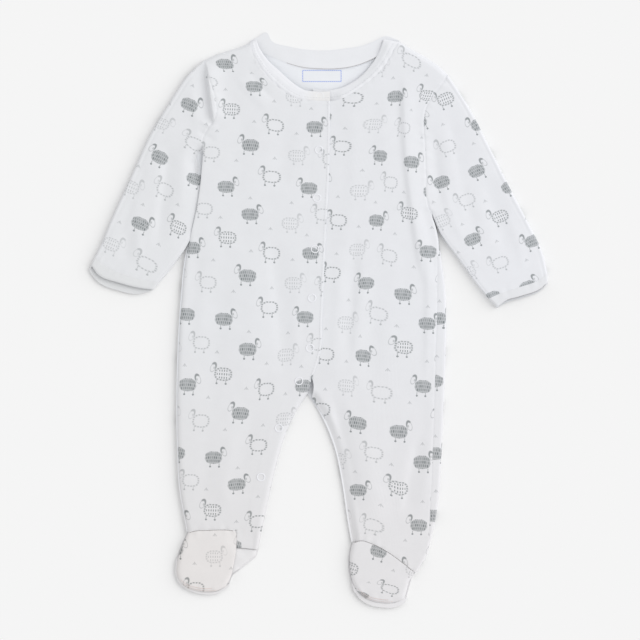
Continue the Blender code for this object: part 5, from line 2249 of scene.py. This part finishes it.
@dataclass
class Poppers:
    """Ring poppers: a rounded plastic ring clenched round a small crown of the suit's own cloth."""

    finishes: Finishes
    radius: float = 4.2
    hole: float = 3.15
    height: float = 0.85
    sunk: float = 0.3
    neck_width: float = 0.55
    squareness: float = 0.8
    steps: int = 48
    profile_steps: int = 12

    def ring(self, spot: Pair, base: float, width: float) -> Array:
        """Carries a rounded profile round a circle.

        Args:
            spot: The ring's middle.
            base: The height of the cloth under it.
            width: Its share of the full width and height.

        Returns:
            Points of a closed ring, round by profile.
        """
        middle, half = (self.radius + self.hole) / 2, (self.radius - self.hole) / 2 * width
        turn = np.linspace(0, 2 * math.pi, self.profile_steps + 1)
        waves = (np.cos(turn), np.sin(turn))
        out, up = (np.sign(wave) * np.abs(wave) ** self.squareness for wave in waves)
        out, up = middle + half * out, base + self.height * width * (0.5 + 0.5 * up)
        round_ = np.linspace(0, 2 * math.pi, self.steps + 1)[:, None]
        x, y = spot[0] + out * np.cos(round_), spot[1] + out * np.sin(round_)
        return np.stack([x, y, np.broadcast_to(up, x.shape)], axis=-1)

    def build(self, faces: Sequence[Patch]) -> None:
        """Makes each popper on the face it is fixed through.

        Args:
            faces: The band's face for the first popper and the front's for the rest.
        """
        for number, spot in enumerate(POPPER_PLACES, 1):
            face = faces[0] if number == 1 else faces[1]
            base = float(face.height_at(np.array([spot]))[0]) - self.sunk
            points = self.ring(spot, base, self.neck_width if number == 1 else 1.0)
            patch = Patch(points, points[..., :2] * MM)
            name = f"popper_{number}"
            mesh = woven(name + "_ring", [patch])
            piece = settled(name + "_ring", mesh, (self.finishes.plastic,))
            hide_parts(name)


# Sewing ------------------------------------------------------------------------------------------


@dataclass(frozen=True)
class Run:
    """A run of stitches: its line, the face that it lies on, the step from stitch to stitch, the
    length of a stitch and its finish, where it isn't the common thread."""

    line: Array
    face: Patch
    pitch: float = 2.9
    length: float = 2.1
    finish: Material | None = None


# also used for the painted shadow line at the right cuff's hem
IN_SEAM = (2.0, 2.3)  # step and length of the threads in a seam


@dataclass
class Sewing:
    """The visible stitches, as small tapered threads in one mesh for each seam; the darkest runs
    are painted shade along seams and a painted shadow at the right cuff's hem.
    """

    finishes: Finishes
    thickness: float = 0.38
    lift: float = 0.12
    taper: tuple[float, ...] = (0.35, 0.9, 1.0, 0.9, 0.35)
    sink: tuple[float, ...] = (-0.2, 0.0, 0.04, 0.0, -0.2)
    sides: int = 6

    def stitches(self, name: str, run: Run) -> None:
        """Lays a spindle for each stitch along a run, half sunk in the cloth.

        Args:
            name: The piece's name.
            run: The run.
        """
        total = lengths(run.line)[-1]
        count, rings = max(int(total / run.pitch), 1), len(self.taper)
        start = (np.arange(count) + 0.5) * run.pitch
        shape = np.linspace(0, 1, rings)
        at = (start[:, None] + (shape - 0.5) * run.length) / total
        path = places(run.line, np.clip(at.ravel(), 0, 1))
        high = run.face.height_at(path) + self.lift
        path = np.column_stack([path, high]).reshape(count, rings, 3)
        ahead = path[:, -1] - path[:, 0]
        ahead /= np.sqrt((ahead**2).sum(1))[:, None]
        aside = np.stack([-ahead[:, 1], ahead[:, 0], 0 * ahead[:, 0]], axis=1)
        aside /= np.sqrt((aside**2).sum(1))[:, None]
        up = np.cross(ahead, aside)
        turn = np.linspace(0, 2 * math.pi, self.sides + 1)[:-1, None]
        ring = aside[:, None, None] * np.cos(turn) + up[:, None, None] * np.sin(turn)
        thick = (self.thickness / 2 * np.array(self.taper))[None, :, None, None]
        sink = np.array(self.sink)[None, :, None, None] * np.array([0, 0, 1.0])
        points = (path[:, :, None] + sink + ring * thick).reshape(-1, 3) * MM
        corner = np.arange(len(points)).reshape(count, rings, self.sides)
        rolled = np.roll(corner, -1, axis=2)
        around = (corner[:, :-1], rolled[:, :-1], rolled[:, 1:], corner[:, 1:])
        sides = np.stack(around, axis=-1).reshape(-1, 4)
        caps = np.vstack([corner[:, 0, ::-1], corner[:, -1]])
        order = np.concatenate([sides.ravel(), caps.ravel()])
        mesh = meshed(name, points, sides.tolist() + caps.tolist(), points[order, :2])
        piece = settled(name, mesh, (run.finish or self.finishes.thread,))


# Studio ------------------------------------------------------------------------------------------


@dataclass
class Studio:
    """The floor, the light and the camera straight above."""

    distance: float = 4.0
    view: float = 0.64
    floor: tuple[float, float, float] = (0.905, 0.905, 0.905)
    fill: float = 0.7745
    key: float = 1.2
    elevation: float = 38.0
    azimuth: float = 20.0
    softness: float = 60.0
    size: float = 4.0
    under: float = -0.0002
    middle: Pair = (0.0015, 0.0005)
    nearest: float = 0.005
    sensor: float = 36.0

    def build(self) -> None:
        """Sets the studio up."""
        scene = bpy.context.scene
        scene.view_settings.view_transform = "Standard"
        mesh = bpy.data.meshes.new("floor")
        signs = ((-1, -1), (1, -1), (1, 1), (-1, 1))
        corners = [(x * self.size, y * self.size, self.under) for x, y in signs]
        mesh.from_pydata(corners, [], [(0, 1, 2, 3)])
        made = bpy.data.materials.new("floor_paper")
        made.use_nodes = True
        paper = made.node_tree.nodes["Principled BSDF"].inputs
        paper["Base Color"].default_value = (*self.floor, 1)
        paper["Roughness"].default_value = 1.0
        paper["Specular IOR Level"].default_value = 0.0
        mesh.materials.append(made)
        floor = placed("floor", mesh)
        world = bpy.data.worlds.new("studio")
        world.use_nodes = True
        light = world.node_tree.nodes["Background"].inputs
        light["Color"].default_value = (1, 1, 1, 1)
        light["Strength"].default_value = self.fill
        scene.world = world
        lamp = bpy.data.lights.new("key", "SUN")
        lamp.energy = self.key
        lamp.angle = math.radians(self.softness)
        tilt, turn = math.radians(90 - self.elevation), math.radians(self.azimuth)
        placed("key", lamp).rotation_euler = (0, tilt, turn)
        view = bpy.data.cameras.new("camera")
        view.sensor_width = self.sensor
        view.lens = self.sensor * (self.distance - self.nearest) / self.view
        view.clip_end = 5 * self.distance
        scene.camera = placed("camera", view)
        scene.camera.location = (*self.middle, self.distance)


# The suit ----------------------------------------------------------------------------------------


def sleeves(finishes: Finishes) -> tuple[Sleeve, Sleeve]:
    """Gives both sleeves with their own sizes.

    Args:
        finishes: The suit's finishes.

    Returns:
        The left and the right sleeve.
    """
    left = Sleeve(
        finishes=finishes,
        side=Side.LEFT,
        outer=(
            (-115, 260), (-130.5, 245.5), (-148.5, 218.5), (-168.5, 185.5), (-183.5, 152.5),
            (-206.5, 102.5), (-221.5, 68), (-224, 63.5),
        ),
        inner=(
            (-116.5, 165.5), (-119.5, 140.5), (-125.3, 103.5), (-132.5, 77.5), (-138, 65.5),
            (-145.5, 55), (-159, 38.5),
        ),
        cuff_seam=((-224, 63.5), (-214.5, 55.5), (-198.5, 47), (-171.5, 40), (-159, 38.5)),
        hem_top=((-227.5, 55.5), (-220.5, 46), (-198.5, 37.5), (-175.5, 32), (-165, 31)),
        hem_under=(
            (-230.4, 50.5), (-220.5, 38.5), (-198.5, 29.5), (-183, 26.5), (-175, 27.5),
            (-165, 30.9),
        ),
        corner=0.5,
        turn=0.39,
        lay=PrintLay(-125.3, 144.3, 23.0, Ease(
            (-200, -150, -125), (45.5, 76.5, 124.5, 172.5, 220.5),
            (
                ((3, 0), (13, -6), (13, -6)), ((2, 2), (7, -3), (5, -1)),
                ((1.5, 0), (1.5, 0), (1.5, -1)), ((-1, 2), (-1, 2), (3, -7)),
                ((-1, -5.5), (-1, -5.5), (-1, -5.5)),
            ),
        )),
        cut=Cut(0.152, 0.23, 0.0287),
        cuff_cut=Cut(0.148, 0.014, 0.00195),
        arm_seam=Seam.ARM_LEFT,
        hem_seam=Seam.HEM_LEFT,
        tuck=4.6,
        sink=2.2,
    )
    right = Sleeve(
        finishes=finishes,
        side=Side.RIGHT,
        outer=(
            (129.5, 245.5), (148.5, 216.5), (171.5, 172.5), (191.5, 132.5), (211.5, 94.5),
            (224.5, 66.5), (229, 47.5),
        ),
        inner=((113.5, 106.5), (121.5, 87.5), (141.5, 59.5), (156.5, 38.5), (170, 22)),
        cuff_seam=((229, 47.5), (219.5, 40), (201.5, 33.5), (184.5, 28), (170, 22)),
        hem_top=((229.5, 38.5), (222.5, 32), (201.5, 24), (186.5, 19.5), (178.5, 13.5)),
        hem_under=((229.5, 37), (223, 30.5), (202, 22), (187, 17.3), (178, 12)),
        corner=0.36,
        turn=0.57,
        lay=PrintLay(155.5, 152.6, -23.0, Ease(
            (0,),
            (30.5, 57.5, 93.5, 129.5, 177.5, 225.5),
            (((1, 6),), ((2, 3),), ((4, 1),), ((3, -2),), ((2, -5),), ((2, -7),)),
        )),
        cut=Cut(0.156, 0.225, 0.0305),
        cuff_cut=Cut(0.132, 0.012, 0.0014),
        arm_seam=Seam.ARM_RIGHT,
        hem_seam=Seam.HEM_RIGHT,
    )
    return left, right


def main() -> None:
    """Builds the suit, its sewing and the studio, and reports each piece."""
    logging.basicConfig(level=logging.INFO, format="%(message)s")
    finishes = Finishes()
    BackPanel(finishes).build()
    front = UpperFront(finishes).build()
    LowerFront(finishes).build()
    left, right = sleeves(finishes)
    left.build()
    hem = right.build()
    band = Neckband(finishes).build()
    insteps = Feet(finishes).build()
    Poppers(finishes).build((band[1], front))
    sewing = Sewing(finishes)
    sewing.stitches("stitches_placket_edge", Run(moved(flow(PLACKET), -2.2), front))
    sewing.stitches("stitches_neck_over", Run(band[1].points[9, :, :2], band[1]))
    sewing.stitches("stitches_neck_under", Run(band[2].points[9, 12:, :2], band[2]))
    # the back neck seam's thread is stitching and a painted shadow under the band's edge
    top = Patch(band[0].points + (0, 0, BAND_WALL), band[0].cloth)
    line = places(flow(BACK_NECK), np.linspace(0.26, 0.92, 80))
    sewing.stitches("seam_and_shadow_neck_back", Run(line, top, *IN_SEAM, finishes.seam))
    # the ankle seams' dark thread is real stitching, darkened to stand for the seams' painted shade
    for side, face, ankle in zip(Side, insteps, (ANKLE_LEFT, ANKLE_RIGHT), strict=True):
        line = places(moved(flow(ankle), 0, -0.3), np.linspace(0.04, 0.96, 60))
        sewing.stitches(f"seam_and_shade_ankle_{side.value}", Run(line, face, *IN_SEAM, finishes.shade))
    for side, face, toe in zip(Side, insteps, (FOOT_LEFT_TOE, FOOT_RIGHT_TOE), strict=True):
        for number, (inset, start, end) in enumerate(((3.4, 0.02, 0.72), (1.3, 0.1, 0.8)), 1):
            line = places(moved(flow(toe), 0.3, inset), np.linspace(start, end, 60))
            run = Run(line, face, *IN_SEAM, finishes.blush)
            sewing.stitches(f"seam_toe_{side.value}_{number}", run)
    # painted shadow: a dark line of thread where the right cuff's upper hem shades its opening
    run = Run(hem.points[8, 14:-4, :2], hem, *IN_SEAM, finishes.shade)
    sewing.stitches("painted_shadow_hem_right", run)
    Studio().build()


if __name__ == "__main__":
    main()
